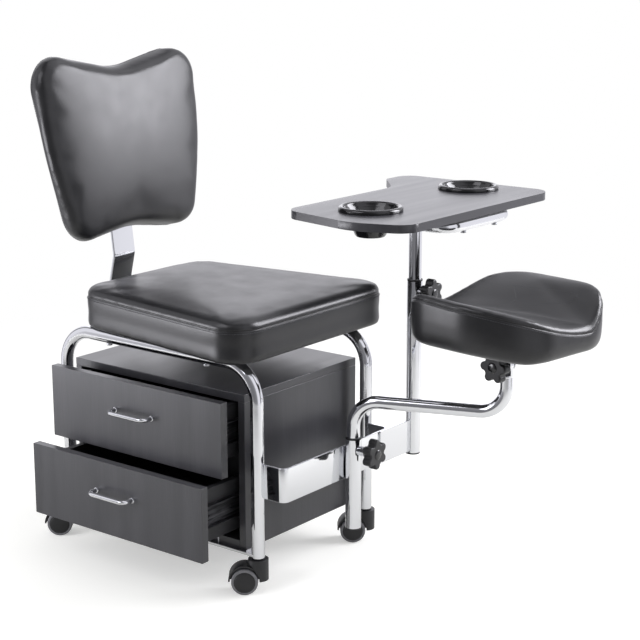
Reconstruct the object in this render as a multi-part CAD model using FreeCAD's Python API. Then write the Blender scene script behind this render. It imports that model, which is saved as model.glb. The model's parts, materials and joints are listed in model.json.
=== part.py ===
"""A wheeled pedicure chair with two drawers, a swivelling footrest and a tray on a telescopic column.

Millimetres, +Z up. The pieces are drawn in the chair's own axes: X to the sitter's front, Y to the
sitter's left, with the zero on the floor midway between the four legs. The finished set is then moved
so that the origin is on the floor under the middle of the whole chair.
"""

import FreeCAD
import Part

import math
import os

# Clearances
running_gap = 0.05
turning_gap = 0.3
screw_gap = 0.2
longest_round = 0.48

# Casters
wheel_diameter = 50.0
wheel_width = 17.0
wheel_gap = 0.5
tyre_depth = 5.0
tyre_round = 2.5
hub_groove_depth = 2.0
hood_gap = 2.5
hood_wall = 3.0
hood_roof = 12.5
hood_width = 34.0
hood_web = 7.0
boss_radius = 19.0
caster_trail = 25.0
caster_angle = 38.0
axle_diameter = 6.0
stem_diameter = 10.0
stem_length = 26.0

# Leg hoops and lower rails
tube_diameter = 25.0
tube_wall = 1.5
leg_spread_x = 490.0
leg_seat_inset = 18.49
hoop_height = 360.5
hoop_bend = 68.0
insert_flange = 2.5
insert_length = 30.0
rail_width = 25.0
rail_thickness = 5.0
rail_lift = 2.2

# Cabinet and drawers
panel = 15.2
cabinet_height = 297.6
cabinet_side_gap = 15.0
cabinet_overhang = 2.6
front_thickness = 16.7
front_base_gap = 10.5
front_top_gap = 1.9
front_split = 2.6
front_bumper = 1.0
upper_open = 46.5
lower_open = 102.0
box_board = 12.0
box_top_gap = 19.3
box_lift = 22.0
box_back_gap = 20.0
box_floor = 5.0
box_floor_lift = 8.0
runner_space = 12.7
runner_height = 45.0
runner_sheet = 1.2
runner_lip = 10.8
runner_hole = 6.0
runner_holes = 5
handle_rod = 8.0
handle_centres = 93.0
handle_reach = 24.0
handle_bend = 14.0
handle_rise = 12.0
handle_foot = 11.0
handle_foot_thickness = 2.0

# Seat
seat_front = 258.0
seat_rear = 203.0
seat_front_width = 472.0
seat_rear_width = 348.0
seat_front_corner = 48.0
seat_rear_corner = 64.0
seat_side_height = 63.0
seat_crown = 22.0
board = 12.0
board_inset = 9.0

# Backrest, leaning back from the bar that carries it
recline = 7.0
backrest_rear = 246.0
backrest_lift = 147.2
backrest_thickness = 58.0
backrest_crown = 12.0
backrest_height = 362.0
backrest_dip = 28.0
backrest_notch = 24.0
backrest_ear_width = 434.0
backrest_ear_lift = 15.0
backrest_hip_width = 416.0
backrest_hip_height = 152.0
backrest_foot_width = 326.0
backrest_ear_round = 58.0
backrest_foot_round = 54.0
backrest_waist = 34.0
bar_width = 58.0
bar_thickness = 6.0
bar_seat_reach = 40.0
bar_kink_drop = 37.0
bar_lean = 27.0
bar_bend = 28.0
bar_rise = 230.0

# Bolts and screws
bolt_diameter = 6.0
bolt_head = 11.0
bolt_head_height = 4.0
bolt_bite = 9.0
seat_bolt_spread = 250.0
rail_bolt_spread = 300.0
bar_bolt_spread = 80.0

# Accessory bracket, sockets and clamps
bracket_reach = 60.0
bracket_height = 65.0
bracket_thickness = 4.0
bracket_bend = 12.0
bracket_lift = 114.2
bracket_leg_offset = 6.0
bracket_lap = 20.0
socket_diameter = 30.0
socket_wall = 1.5
socket_plug = 3.0
bush_length = 14.0
bush_flange = 3.0
arm_socket_y = 25.0
arm_socket_drop = 95.0
arm_socket_rise = 15.0
column_y = 240.0
column_drop = 3.0
column_length = 348.0
clamp_drop = 21.0
nut_diameter = 18.0
arm_nut_length = 14.0
column_nut_length = 4.0

# Star knobs
knob_lobes = 6
knob_lobe_radius = 8.0
knob_lobe_centre = 21.0
knob_valley_radius = 5.0
knob_thickness = 18.0
knob_round = 3.0
knob_neck = 22.0
knob_neck_length = 8.0
knob_stand = 2.0
stud_diameter = 8.0

# Footrest arm and tilt joint
arm_angle = 20.6
arm_reach = 287.0
arm_rise = 75.0
arm_bend = 50.0
arm_foot_lift = 14.0
pivot_rise = 93.0
pivot_stand = 20.0
tongue_thickness = 8.0
tongue_flange = 4.0
tongue_spigot = 18.0
ear_thickness = 4.0
ear_gap = 0.5
ear_radius = 14.0
yoke_length = 124.0
yoke_width = 28.0
yoke_plate = 4.0
pad_stand = 32.0
tilt_head = 14.0
tilt_head_height = 5.0
tilt_knob_stand = 8.0

# Footrest pad
pad_yaw = -8.0
pad_length = 268.0
pad_width = 316.0
pad_corner = 80.0
pad_ridge = 104.0
pad_valley = 52.0
pad_valley_fall = 22.0
pad_valley_slant = 0.42
pad_near_belly = 18.0
pad_far_belly = 8.0
pad_sag = 8.0
pad_near_share = 0.52
pad_flat_share = 0.37
pad_far_share = 0.68
pad_board_margin = 2.0
pad_ridge_round = 30.0
pad_valley_round = 170.0
pad_edge_round = 18.0

# Tray
tray_rise = 111.0
tray_thickness = 16.0
tray_front = 91.0
tray_rear = 200.0
tray_near = 193.0
tray_far = 368.0
tray_ear = 78.0
tray_ear_width = 78.0
tray_ear_run = 87.0
tray_bow = 38.0
tray_bow_back = 105.0
tray_corner = 44.0
tray_bow_round = 120.0
tray_step_round = 75.0
tray_ear_round = 26.0
tray_tip_round = 34.0
loop_front = 73.0
loop_width = 225.0
loop_depth = 175.0
loop_bend = 40.0
tray_column_insert = 227.0
cup_rim_radius = 63.0
cup_rim_height = 9.0
cup_mouth_radius = 52.0
cup_neck_radius = 50.0
cup_foot_radius = 30.0
cup_drop = 51.0
cup_wall = 2.5
cup_hole_gap = 1.0
cup_offset_x = -64.0
near_cup_offset_y = -60.0
far_cup_offset_y = 285.0

# Places worked out from the sizes above
wheel_radius = wheel_diameter / 2
hood_top_z = wheel_diameter + hood_gap + hood_roof
leg_foot_z = hood_top_z + turning_gap + insert_flange
leg_x = leg_spread_x / 2
rear_bolt_share = (seat_rear - seat_bolt_spread / 2) / (seat_rear + seat_front)
leg_y = (seat_rear_width + rear_bolt_share * (seat_front_width - seat_rear_width)) / 2 - leg_seat_inset
hoop_axis_z = leg_foot_z + hoop_height
seat_z = hoop_axis_z + tube_diameter / 2
backrest_base_z = seat_z + backrest_lift
bar_kink_z = backrest_base_z - bar_kink_drop
cabinet_z = leg_foot_z + rail_lift + rail_thickness
cabinet_top_z = cabinet_z + cabinet_height
cabinet_x = leg_x - tube_diameter / 2 - cabinet_side_gap
cabinet_y = leg_y + cabinet_overhang
front_height = (cabinet_height - front_base_gap - front_split - front_top_gap) / 2
box_height = front_height - box_lift - box_top_gap
lower_front_z = cabinet_z + front_base_gap
upper_front_z = lower_front_z + front_height + front_split
bracket_x = leg_x + bracket_reach
bracket_base_z = leg_foot_z + bracket_lift
socket_bore = socket_diameter - 2 * socket_wall
arm_socket_x = bracket_x + socket_diameter / 2
arm_socket_z = bracket_base_z - arm_socket_drop
arm_socket_top_z = bracket_base_z + bracket_height + arm_socket_rise
column_x = bracket_x + bracket_thickness / 2
column_z = bracket_base_z - column_drop
column_top_z = column_z + column_length
arm_end_x = arm_socket_x + arm_reach * math.cos(math.radians(arm_angle))
arm_end_y = arm_socket_y + arm_reach * math.sin(math.radians(arm_angle))
arm_run_z = arm_socket_top_z + arm_rise
pivot_z = arm_run_z + pivot_rise
tray_under_z = column_top_z + tray_rise + tube_diameter / 2
tray_top_z = tray_under_z + tray_thickness
loop_z = tray_under_z - tube_diameter / 2


def vec(x, y, z):
    return FreeCAD.Vector(x, y, z)


def unit(v):
    return v * (1 / v.Length)


def block(x, y, z):
    """A box between the pairs of limits x, y and z."""
    return Part.makeBox(x[1] - x[0], y[1] - y[0], z[1] - z[0], vec(x[0], y[0], z[0]))


def rod(start, end, diameter):
    """A round bar from one point to another."""
    return Part.makeCylinder(diameter / 2, (end - start).Length, start, end - start)


def pipe(start, end, outer, inner):
    """A straight round tube from one point to another."""
    return rod(start, end, outer).cut(rod(start, end, inner))


def group(solids):
    """Several separate solids kept as one piece."""
    return Part.makeCompound([s for shape in solids for s in shape.Solids])


def line(start, end):
    return Part.LineSegment(start, end).toShape()


def arc(start, middle, end):
    return Part.Arc(start, middle, end).toShape()


def corner(before, at, after, radius):
    """The start, middle and end of the arc that rounds a corner."""
    a, b = unit(before - at), unit(after - at)
    half = a.getAngle(b) / 2
    middle = at + unit(a + b) * (radius / math.sin(half) - radius)
    reach = radius / math.tan(half)
    return at + a * reach, middle, at + b * reach


def rounded_path(points, radius):
    """An open path of straight runs with its inner corners rounded."""
    edges, here = [], points[0]
    for before, at, after in zip(points, points[1:], points[2:]):
        start, middle, end = corner(before, at, after, radius)
        edges += [line(here, start), arc(start, middle, end)]
        here = end
    return Part.Wire(edges + [line(here, points[-1])])


def fitted(before, at, after, radius):
    """A corner's radius, less where the runs beside it are too short for it."""
    a, b = before - at, after - at
    return min(radius, longest_round * min(a.Length, b.Length) * math.tan(a.getAngle(b) / 2))


def rounded_outline(points, radii):
    """A closed outline of straight runs with each corner rounded by its own radius."""
    count = len(points)
    arcs = []
    for i in range(count):
        three = points[i - 1], points[i], points[(i + 1) % count]
        arcs.append(corner(*three, fitted(*three, radii[i])))
    edges = []
    for i in range(count):
        edges.append(arc(*arcs[i]))
        edges.append(line(arcs[i][2], arcs[(i + 1) % count][0]))
    return Part.Wire(edges)


def inset(points, radii, distance, normal, least=6.0):
    """An outline's corners and radii moved inwards by an even distance."""
    moved, rounds = [], []
    for i, at in enumerate(points):
        before, after = points[i - 1], points[(i + 1) % len(points)]
        a, b = unit(before - at), unit(after - at)
        sign = 1 if (at - before).cross(after - at).dot(normal) > 0 else -1
        moved.append(at + unit(a + b) * (sign * distance / math.sin(a.getAngle(b) / 2)))
        rounds.append(max(radii[i] - sign * distance, least))
    return moved, rounds


def prism(wire, height):
    """A closed outline drawn out along a vector."""
    return Part.Face(wire).extrude(height)


def sweep_round(points, bend, diameter):
    path = rounded_path(points, bend)
    ring = Part.Wire(Part.makeCircle(diameter / 2, points[0], points[1] - points[0]))
    return path.makePipeShell([ring], True, False)


def bent_tube(points, bend, outer, wall):
    """A round tube along straight runs with its corners bent."""
    return sweep_round(points, bend, outer).cut(sweep_round(points, bend, outer - 2 * wall))


def bent_bar(points, bend, across, width, thickness):
    """A flat bar along a path, its width along the direction across."""
    side = unit(across) * (width / 2)
    flat = unit(across.cross(points[1] - points[0])) * (thickness / 2)
    start = points[0]
    section = Part.makePolygon([start + side + flat, start - side + flat, start - side - flat,
                                start + side - flat, start + side + flat])
    return rounded_path(points, bend).makePipeShell([section], True, False)


def bolt(seat, direction, length):
    """A bolt whose head's underside is at the seat and whose shank runs along the direction."""
    along = unit(direction)
    head = rod(seat - along * bolt_head_height, seat, bolt_head)
    return head.fuse(rod(seat, seat + along * length, bolt_diameter)).removeSplitter()


def bolt_hole(seat, direction, length, gap=screw_gap):
    """The clearance hole for such a bolt's shank."""
    return rod(seat, seat + unit(direction) * length, bolt_diameter + 2 * gap)


def legs():
    """The feet of the four leg tubes: a name for each and its place."""
    return [(f"{end}_{side}", vec(x, y, leg_foot_z))
            for end, x in (("front", leg_x), ("rear", -leg_x))
            for side, y in (("right", -leg_y), ("left", leg_y))]


def seat_bolt_places():
    half = seat_bolt_spread / 2
    return [vec(x, y, seat_z - tube_diameter) for x in (-half, half) for y in (-leg_y, leg_y)]


def hoop(y):
    """One inverted U of tube: two legs and the run under the seat, drilled for the seat bolts."""
    points = [vec(-leg_x, y, leg_foot_z), vec(-leg_x, y, hoop_axis_z),
              vec(leg_x, y, hoop_axis_z), vec(leg_x, y, leg_foot_z)]
    shape = bent_tube(points, hoop_bend, tube_diameter, tube_wall)
    for place in seat_bolt_places():
        if place.y == y:
            shape = shape.cut(bolt_hole(place - vec(0, 0, 1), vec(0, 0, 1), tube_diameter + 2))
    return shape


def leg_cylinder(x, y):
    return rod(vec(x, y, leg_foot_z), vec(x, y, hoop_axis_z), tube_diameter)


def rail_bolt_places():
    half = rail_bolt_spread / 2
    return [vec(x, y, cabinet_z - rail_thickness) for x in (-half, half) for y in (-leg_y, leg_y)]


def lower_rails():
    """Flat bars welded between the legs of each hoop, which the cabinet stands on."""
    rails = []
    for y in (-leg_y, leg_y):
        rail = block((-leg_x, leg_x), (y - rail_width / 2, y + rail_width / 2),
                     (cabinet_z - rail_thickness, cabinet_z))
        for x in (-leg_x, leg_x):
            rail = rail.cut(leg_cylinder(x, y))
        for place in rail_bolt_places():
            if place.y == y:
                rail = rail.cut(bolt_hole(place, vec(0, 0, 1), rail_thickness))
        rails.append(rail)
    return group(rails)


def tube_inserts():
    """The plastic bushes in the leg ends and the plugs in the feet of the two sockets."""
    solids = []
    bore = stem_diameter + 2 * running_gap
    for _, foot in legs():
        top, low = foot + vec(0, 0, insert_length), foot - vec(0, 0, insert_flange)
        shape = rod(foot, top, tube_diameter - 2 * tube_wall).fuse(rod(low, foot, tube_diameter))
        solids.append(shape.cut(rod(low, low + vec(0, 0, stem_length + insert_flange + 1), bore)))
    for x, y, z in ((arm_socket_x, arm_socket_y, arm_socket_z), (column_x, column_y, column_z)):
        solids.append(rod(vec(x, y, z), vec(x, y, z + 3 * socket_plug), socket_bore)
                      .fuse(rod(vec(x, y, z - socket_plug), vec(x, y, z), socket_diameter)))
    return group([s.removeSplitter() for s in solids])


def caster_frame(foot):
    """The turn and move that set a caster, drawn about its stem at the floor, under its leg."""
    return FreeCAD.Placement(vec(foot.x, foot.y, 0), FreeCAD.Rotation(vec(0, 0, 1), caster_angle))


def caster_hood():
    """The hood over the wheels with its web between them, its stem boss and the steel stem."""
    axle = vec(-caster_trail, 0, wheel_radius)
    half = vec(0, hood_width / 2, 0)
    clear = 2 * (wheel_radius + hood_gap)
    outer = rod(axle - half, axle + half, clear + 2 * hood_wall)
    wide = 2 * wheel_diameter
    over = block((-wide, wide), (-wide, wide), (wheel_radius, wide))
    boss = rod(vec(0, 0, wheel_radius), vec(0, 0, hood_top_z), 2 * boss_radius)
    body = outer.common(over).fuse(boss).cut(rod(axle - half * 2, axle + half * 2, clear))
    web = vec(0, hood_web / 2, 0)
    plate = rod(axle - web, axle + web, clear + hood_wall).common(over)
    body = body.fuse(plate).fuse(rod(axle - web, axle + web, 3 * axle_diameter))
    body = body.cut(rod(axle - web * 2, axle + web * 2, axle_diameter + 2 * running_gap))
    stem_foot = vec(0, 0, wheel_diameter + hood_gap)
    stem = rod(stem_foot, vec(0, 0, leg_foot_z + stem_length), stem_diameter)
    return group([body.cut(stem).removeSplitter(), stem])


def wheel_places():
    """The inner faces of the twin wheels: the side that each is on."""
    return [(side, side * (hood_web / 2 + wheel_gap)) for side in (-1, 1)]


def caster_hubs():
    """The two hub discs, each with a ring groove in its face, on one axle."""
    hubs = []
    for side, y in wheel_places():
        face = vec(-caster_trail, y + side * wheel_width, wheel_radius)
        inner = vec(-caster_trail, y, wheel_radius)
        depth = face - vec(0, side * hub_groove_depth, 0)
        hub = rod(inner, face, wheel_diameter - 2 * tyre_depth)
        hub = hub.cut(pipe(depth, face, wheel_diameter - 4 * tyre_depth, 3 * axle_diameter))
        hubs.append(hub)
    reach = hood_web / 2 + wheel_gap + wheel_width - 2 * hub_groove_depth
    ends = [vec(-caster_trail, side * reach, wheel_radius) for side in (-1, 1)]
    axle = rod(*ends, axle_diameter)
    return group([hub.cut(axle) for hub in hubs] + [axle])


def caster_tyres():
    """The two soft treads round the hubs."""
    tyres = []
    for side, y in wheel_places():
        inner = vec(-caster_trail, y, wheel_radius)
        face = vec(-caster_trail, y + side * wheel_width, wheel_radius)
        whole = rod(inner, face, wheel_diameter)
        rims = [e for e in whole.Edges if e.Curve.TypeId == "Part::GeomCircle"]
        rounded = whole.makeFillet(tyre_round, rims)
        tyres.append(rounded.cut(rod(inner, face, wheel_diameter - 2 * tyre_depth)))
    return group(tyres)


def cabinet_panels():
    """The five boards of the cabinet, open towards the drawers."""
    inner_x, top = cabinet_x - panel, cabinet_top_z - panel
    sides_y, sides_z = (-cabinet_y, cabinet_y), (cabinet_z, top)
    floor = block((-inner_x, inner_x), sides_y, (cabinet_z, cabinet_z + panel))
    for place in rail_bolt_places():
        floor = floor.cut(bolt_hole(place, vec(0, 0, 1), rail_thickness + bolt_bite, 0))
    return {
        "cabinet_top": block((-cabinet_x, cabinet_x), sides_y, (top, cabinet_top_z)),
        "cabinet_bottom": floor,
        "cabinet_front_panel": block((inner_x, cabinet_x), sides_y, sides_z),
        "cabinet_rear_panel": block((-cabinet_x, -inner_x), sides_y, sides_z),
        "cabinet_back_panel": block((-inner_x, inner_x), (cabinet_y - panel, cabinet_y),
                                    (cabinet_z + panel, top)),
    }


def runner_mid_z(front_z):
    return front_z + box_lift + box_height / 2


def channel(web_x, lip, y, mid_z, height):
    """A thin sheet channel standing on edge: its web at web_x, its lips reaching by lip along X."""
    tall = (mid_z - height / 2, mid_z + height / 2)
    web = block(sorted((web_x, web_x + math.copysign(runner_sheet, lip))), y, tall)
    whole = block(sorted((web_x, web_x + lip)), y, tall)
    inside = height / 2 - runner_sheet
    hollow = block(sorted((web_x, web_x + lip)), y, (mid_z - inside, mid_z + inside))
    return whole.cut(hollow).fuse(web).removeSplitter()


def box_rear_y():
    """Where the back of a closed drawer's box comes to."""
    return cabinet_y - panel - box_back_gap


def cabinet_runners():
    """The four fixed runner channels on the inner faces of the cabinet's sides."""
    wall = cabinet_x - panel
    span = (-cabinet_y + runner_sheet, box_rear_y())
    return group([channel(side * wall, -side * runner_lip, span, runner_mid_z(z), runner_height)
                  for z in (lower_front_z, upper_front_z) for side in (-1, 1)])


def drawer(name, front_z, opened):
    """One drawer, pulled out by a distance: its front, box, runner channels and handle."""
    back = -cabinet_y - front_bumper - opened
    face = back - front_thickness
    rear = box_rear_y() - opened
    half = cabinet_x - panel - runner_space
    low = front_z + box_lift
    tall = (low, low + box_height)
    inner = half - box_board
    floor_z = (low + box_floor_lift, low + box_floor_lift + box_floor)
    boards = [
        block((-half, -inner), (back, rear), tall),
        block((inner, half), (back, rear), tall),
        block((-inner, inner), (rear - box_board, rear), tall),
        block((-inner, inner), (back, rear - box_board), floor_z),
    ]
    height = runner_height - 2 * runner_sheet - 2 * turning_gap
    mid = runner_mid_z(front_z)
    runners = []
    for side in (-1, 1):
        runner = channel(side * half, side * (runner_lip - runner_sheet), (back, rear), mid, height)
        for i in range(runner_holes):
            y = back + (rear - back) * (i + 0.5) / runner_holes
            face_x, back_x = side * half, side * (half + runner_sheet)
            runner = runner.cut(rod(vec(face_x, y, mid), vec(back_x, y, mid), runner_hole))
        runners.append(runner)
    handle_z = front_z + front_height / 2 + handle_rise
    reach = handle_centres / 2
    points = [vec(-reach, face, handle_z), vec(-reach, face - handle_reach, handle_z),
              vec(reach, face - handle_reach, handle_z), vec(reach, face, handle_z)]
    handle = sweep_round(points, handle_bend, handle_rod)
    for x in (-reach, reach):
        foot = rod(vec(x, face, handle_z), vec(x, face - handle_foot_thickness, handle_z), handle_foot)
        handle = handle.fuse(foot)
    return {
        f"{name}_drawer_front": block((-cabinet_x, cabinet_x), (face, back),
                                      (front_z, front_z + front_height)),
        f"{name}_drawer_box": group(boards),
        f"{name}_drawer_runners": group(runners),
        f"{name}_drawer_handle": handle.removeSplitter(),
    }


def seat_outline(z, distance):
    """The seat's plan at a height, drawn in by a distance."""
    points = [vec(seat_front, -seat_front_width / 2, z), vec(seat_front, seat_front_width / 2, z),
              vec(-seat_rear, seat_rear_width / 2, z), vec(-seat_rear, -seat_rear_width / 2, z)]
    radii = [seat_front_corner] * 2 + [seat_rear_corner] * 2
    return rounded_outline(*inset(points, radii, distance, vec(0, 0, 1), seat_front_corner / 4))


def seat():
    """The plywood board and the cushion that wraps it: drawn-in sides, a full top edge and a crown."""
    blank = prism(seat_outline(seat_z, board_inset), vec(0, 0, board))
    plate = blank
    for place in seat_bolt_places():
        plate = plate.cut(bolt_hole(place, vec(0, 0, 1), tube_diameter + bolt_bite, 0))
    for place in bar_seat_bolts():
        plate = plate.cut(bolt_hole(place, vec(0, 0, 1), bar_thickness + bolt_bite, 0))
    side = [(0, 5), (0.1, 1), (0.5, 3), (0.9, 0), (1, 1)]
    crown = [(0.4, 10), (0.75, 34), (1, 100)]
    levels = [(seat_z + share * seat_side_height, draw) for share, draw in side]
    levels += [(seat_z + seat_side_height + share * seat_crown, draw) for share, draw in crown]
    cushion = Part.makeLoft([seat_outline(z, draw) for z, draw in levels], True, True)
    return {"seat_board": plate, "seat_cushion": cushion.cut(blank)}


def backrest_point(y, up, out):
    """A point of the leaning backrest: across it, up along it and out from its rear face."""
    lean = math.radians(recline)
    x = -backrest_rear - up * math.sin(lean) + out * math.cos(lean)
    return vec(x, y, backrest_base_z + up * math.cos(lean) + out * math.sin(lean))


def backrest_outline(out, distance, waist):
    """The butterfly outline: two ears with a dip between, and sides that draw in to a narrower foot."""
    half = [(backrest_ear_width / 2, backrest_height + backrest_ear_lift, backrest_ear_round),
            (backrest_hip_width / 2 - waist, backrest_hip_height, 2 * backrest_hip_height),
            (backrest_foot_width / 2 - waist / 3, 0, backrest_foot_round)]
    corners = [(0, backrest_height - backrest_dip, 3 * backrest_ear_round)]
    corners += [(-y, z, r) for y, z, r in half]
    corners += [(0, backrest_notch, 4 * backrest_foot_round)] + [(y, z, r) for y, z, r in reversed(half)]
    points = [backrest_point(y, z, out) for y, z, _ in corners]
    normal = backrest_point(0, 0, 1) - backrest_point(0, 0, 0)
    radii = [r for _, _, r in corners]
    return rounded_outline(*inset(points, radii, distance, normal, backrest_foot_round / 5))


def bar_path():
    """The back bar's centre line: under the seat, up behind it and along the backrest's rear face."""
    deep = -bar_thickness / 2
    lean = math.radians(recline)
    kink_up = (bar_kink_z - backrest_base_z - deep * math.sin(lean)) / math.cos(lean)
    kink = backrest_point(0, kink_up, deep)
    low = seat_z - bar_thickness / 2
    return [vec(-bar_seat_reach, 0, low), vec(kink.x - bar_lean, 0, low), kink,
            backrest_point(0, kink_up + bar_rise, deep)]


def bar_seat_bolts():
    """The seats of the bolt heads under the bar, below the seat board."""
    start = -bar_seat_reach - bar_width / 2
    return [vec(x, 0, seat_z - bar_thickness) for x in (start, start - bar_bolt_spread)]


def bar_back_bolts():
    """The seats of the bolt heads behind the bar, on the backrest."""
    top = bar_rise + (bar_kink_z - backrest_base_z) - bar_width / 2
    return [backrest_point(0, up, -bar_thickness) for up in (top, top - bar_bolt_spread)]


def back_bar():
    """The chromed flat bar that carries the backrest."""
    bar = bent_bar(bar_path(), bar_bend, vec(0, 1, 0), bar_width, bar_thickness)
    out = backrest_point(0, 0, 1) - backrest_point(0, 0, 0)
    for place in bar_seat_bolts():
        bar = bar.cut(bolt_hole(place, vec(0, 0, 1), bar_thickness))
    for place in bar_back_bolts():
        bar = bar.cut(bolt_hole(place, out, bar_thickness))
    return bar


def backrest():
    """The backrest's board and its cushion: a straight-sided rear, a fuller edge and a crowned front."""
    out = backrest_point(0, 0, 1) - backrest_point(0, 0, 0)
    blank = prism(backrest_outline(0, board_inset, backrest_waist), out * board)
    plate = blank
    for place in bar_back_bolts():
        plate = plate.cut(bolt_hole(place, out, bar_thickness + bolt_bite, 0))
    side = backrest_thickness - backrest_crown
    edge = [(0, 4, 1), (0.2, 0, 0.8), (0.5, 2, 0.35), (0.9, 0, 0), (1, 2, 0)]
    front = [(0.5, 14), (0.85, 36), (1, 64)]
    levels = [(side * share, draw, backrest_waist * waist) for share, draw, waist in edge]
    levels += [(side + backrest_crown * share, draw, 0) for share, draw in front]
    cushion = Part.makeLoft([backrest_outline(*level) for level in levels], True, True)
    return {"backrest_board": plate, "backrest_cushion": cushion.cut(blank)}


def frame_bolts():
    """The bolts that hold the seat to the hoops, the bar to both boards and the cabinet to the rails."""
    up = vec(0, 0, 1)
    out = backrest_point(0, 0, 1) - backrest_point(0, 0, 0)
    bolts = [bolt(place, up, tube_diameter + bolt_bite) for place in seat_bolt_places()]
    bolts += [bolt(place, up, rail_thickness + bolt_bite) for place in rail_bolt_places()]
    bolts += [bolt(place, up, bar_thickness + bolt_bite) for place in bar_seat_bolts()]
    bolts += [bolt(place, out, bar_thickness + bolt_bite) for place in bar_back_bolts()]
    return group(bolts)


def tool_bracket():
    """The hat-shaped flat bar welded to the two front legs, which carries the arm and the column."""
    middle_x, middle_z = bracket_x - bracket_thickness / 2, bracket_base_z + bracket_height / 2
    y = leg_y - bracket_leg_offset
    points = [vec(leg_x, -y, middle_z), vec(middle_x, -y, middle_z),
              vec(middle_x, y, middle_z), vec(leg_x, y, middle_z)]
    bar = bent_bar(points, bracket_bend, vec(0, 0, 1), bracket_height, bracket_thickness)
    for side in (-1, 1):
        bar = bar.cut(leg_cylinder(leg_x, side * leg_y))
    return bar


def column_bracket():
    """The flat plate lapped on the bracket's front, which reaches out to the column."""
    start = leg_y - bracket_leg_offset - bracket_bend - bracket_lap
    plate = block((bracket_x, bracket_x + bracket_thickness), (start, column_y),
                  (bracket_base_z, bracket_base_z + bracket_height))
    low, top = vec(column_x, column_y, column_z), vec(column_x, column_y, column_top_z)
    return plate.cut(rod(low, top, socket_diameter))


def socket(x, y, z, top):
    """A socket tube with a hole in its front for the clamp stud."""
    shape = pipe(vec(x, y, z), vec(x, y, top), socket_diameter, socket_bore)
    clamp = vec(x, y, top - clamp_drop)
    return shape.cut(rod(clamp, clamp + vec(socket_diameter, 0, 0), stud_diameter + 2 * running_gap))


def clamps():
    """The two socket clamps: where the stud crosses the socket's axis, and the length of the nut."""
    return {"arm": (vec(arm_socket_x, arm_socket_y, arm_socket_top_z - clamp_drop), arm_nut_length),
            "column": (vec(column_x, column_y, column_top_z - clamp_drop), column_nut_length)}


def clamp_nuts():
    """The threaded bosses welded to the fronts of the two sockets."""
    nuts = []
    tall = vec(0, 0, nut_diameter)
    for at, length in clamps().values():
        end = at + vec(socket_diameter / 2 + length, 0, 0)
        nut = pipe(at, end, nut_diameter, stud_diameter + 2 * running_gap)
        nuts.append(nut.cut(rod(at - tall, at + tall, socket_diameter)))
    return group(nuts)


def knob_outline():
    """Lobes joined by hollows, every arc tangent to the next."""
    lobe, centre, valley = knob_lobe_radius, knob_lobe_centre, knob_valley_radius
    half = math.pi / knob_lobes
    along = centre * math.cos(half)
    valley_centre = along + math.sqrt(along**2 - centre**2 + (lobe + valley)**2)

    def polar(radius, angle):
        return vec(radius * math.cos(angle), radius * math.sin(angle), 0)

    edges = []
    for i in range(knob_lobes):
        turn = 2 * half * i
        here, after = polar(centre, turn), polar(centre, turn + 2 * half)
        left, right = polar(valley_centre, turn - half), polar(valley_centre, turn + half)
        start, end = here + unit(left - here) * lobe, here + unit(right - here) * lobe
        onward = after + unit(right - after) * lobe
        edges.append(arc(start, polar(centre + lobe, turn), end))
        edges.append(arc(end, polar(valley_centre - valley, turn + half), onward))
    return Part.Wire(edges)


def star_knob(back, direction, stud_start, stud_head=0.0):
    """A star knob whose neck starts at a point, with its stud running back to another."""
    along = unit(direction)
    grip = prism(knob_outline(), vec(0, 0, knob_thickness))
    rims = [e for e in grip.Edges if abs(e.BoundBox.ZMax - e.BoundBox.ZMin) < 0.01]
    grip = grip.makeFillet(knob_round, rims)
    grip.translate(vec(0, 0, knob_neck_length))
    grip = grip.fuse(rod(vec(0, 0, 0), vec(0, 0, knob_neck_length), knob_neck)).removeSplitter()
    grip.Placement = FreeCAD.Placement(back, FreeCAD.Rotation(vec(0, 0, 1), along)).multiply(grip.Placement)
    stud = rod(stud_start, back + along * (knob_neck_length + knob_thickness / 2), stud_diameter)
    grip = grip.cut(stud)
    if stud_head:
        stud = stud.fuse(rod(stud_start, stud_start + along * tilt_head_height, stud_head)).removeSplitter()
    return group([grip, stud])


def clamp_knob(at, nut_length):
    """The knob of one socket clamp: its stud stops just short of the tube in the socket."""
    ahead = vec(1, 0, 0)
    back = at + ahead * (socket_diameter / 2 + nut_length + knob_stand)
    return star_knob(back, ahead, at + ahead * (tube_diameter / 2 + turning_gap))


def bush(x, y, top):
    """The plastic sleeve in a socket's mouth, with a flange on its rim."""
    bore = tube_diameter + 2 * running_gap
    rim = vec(x, y, top + turning_gap)
    sleeve = pipe(vec(x, y, top - bush_length), rim, socket_bore - 2 * running_gap, bore)
    flange = pipe(rim, rim + vec(0, 0, bush_flange), socket_diameter, bore)
    return sleeve.fuse(flange).removeSplitter()


def footrest_arm():
    """The bent tube from the socket out to the footrest."""
    foot, end = arm_socket_z + arm_foot_lift, pivot_z - pivot_stand - tongue_flange
    points = [vec(arm_socket_x, arm_socket_y, foot), vec(arm_socket_x, arm_socket_y, arm_run_z),
              vec(arm_end_x, arm_end_y, arm_run_z), vec(arm_end_x, arm_end_y, end)]
    return bent_tube(points, arm_bend, tube_diameter, tube_wall)


def pad_frame():
    """The turn and move from the pad's own axes, zero at the tilt pivot, to the chair's."""
    return FreeCAD.Placement(vec(arm_end_x, arm_end_y, pivot_z), FreeCAD.Rotation(vec(0, 0, 1), pad_yaw))


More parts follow.
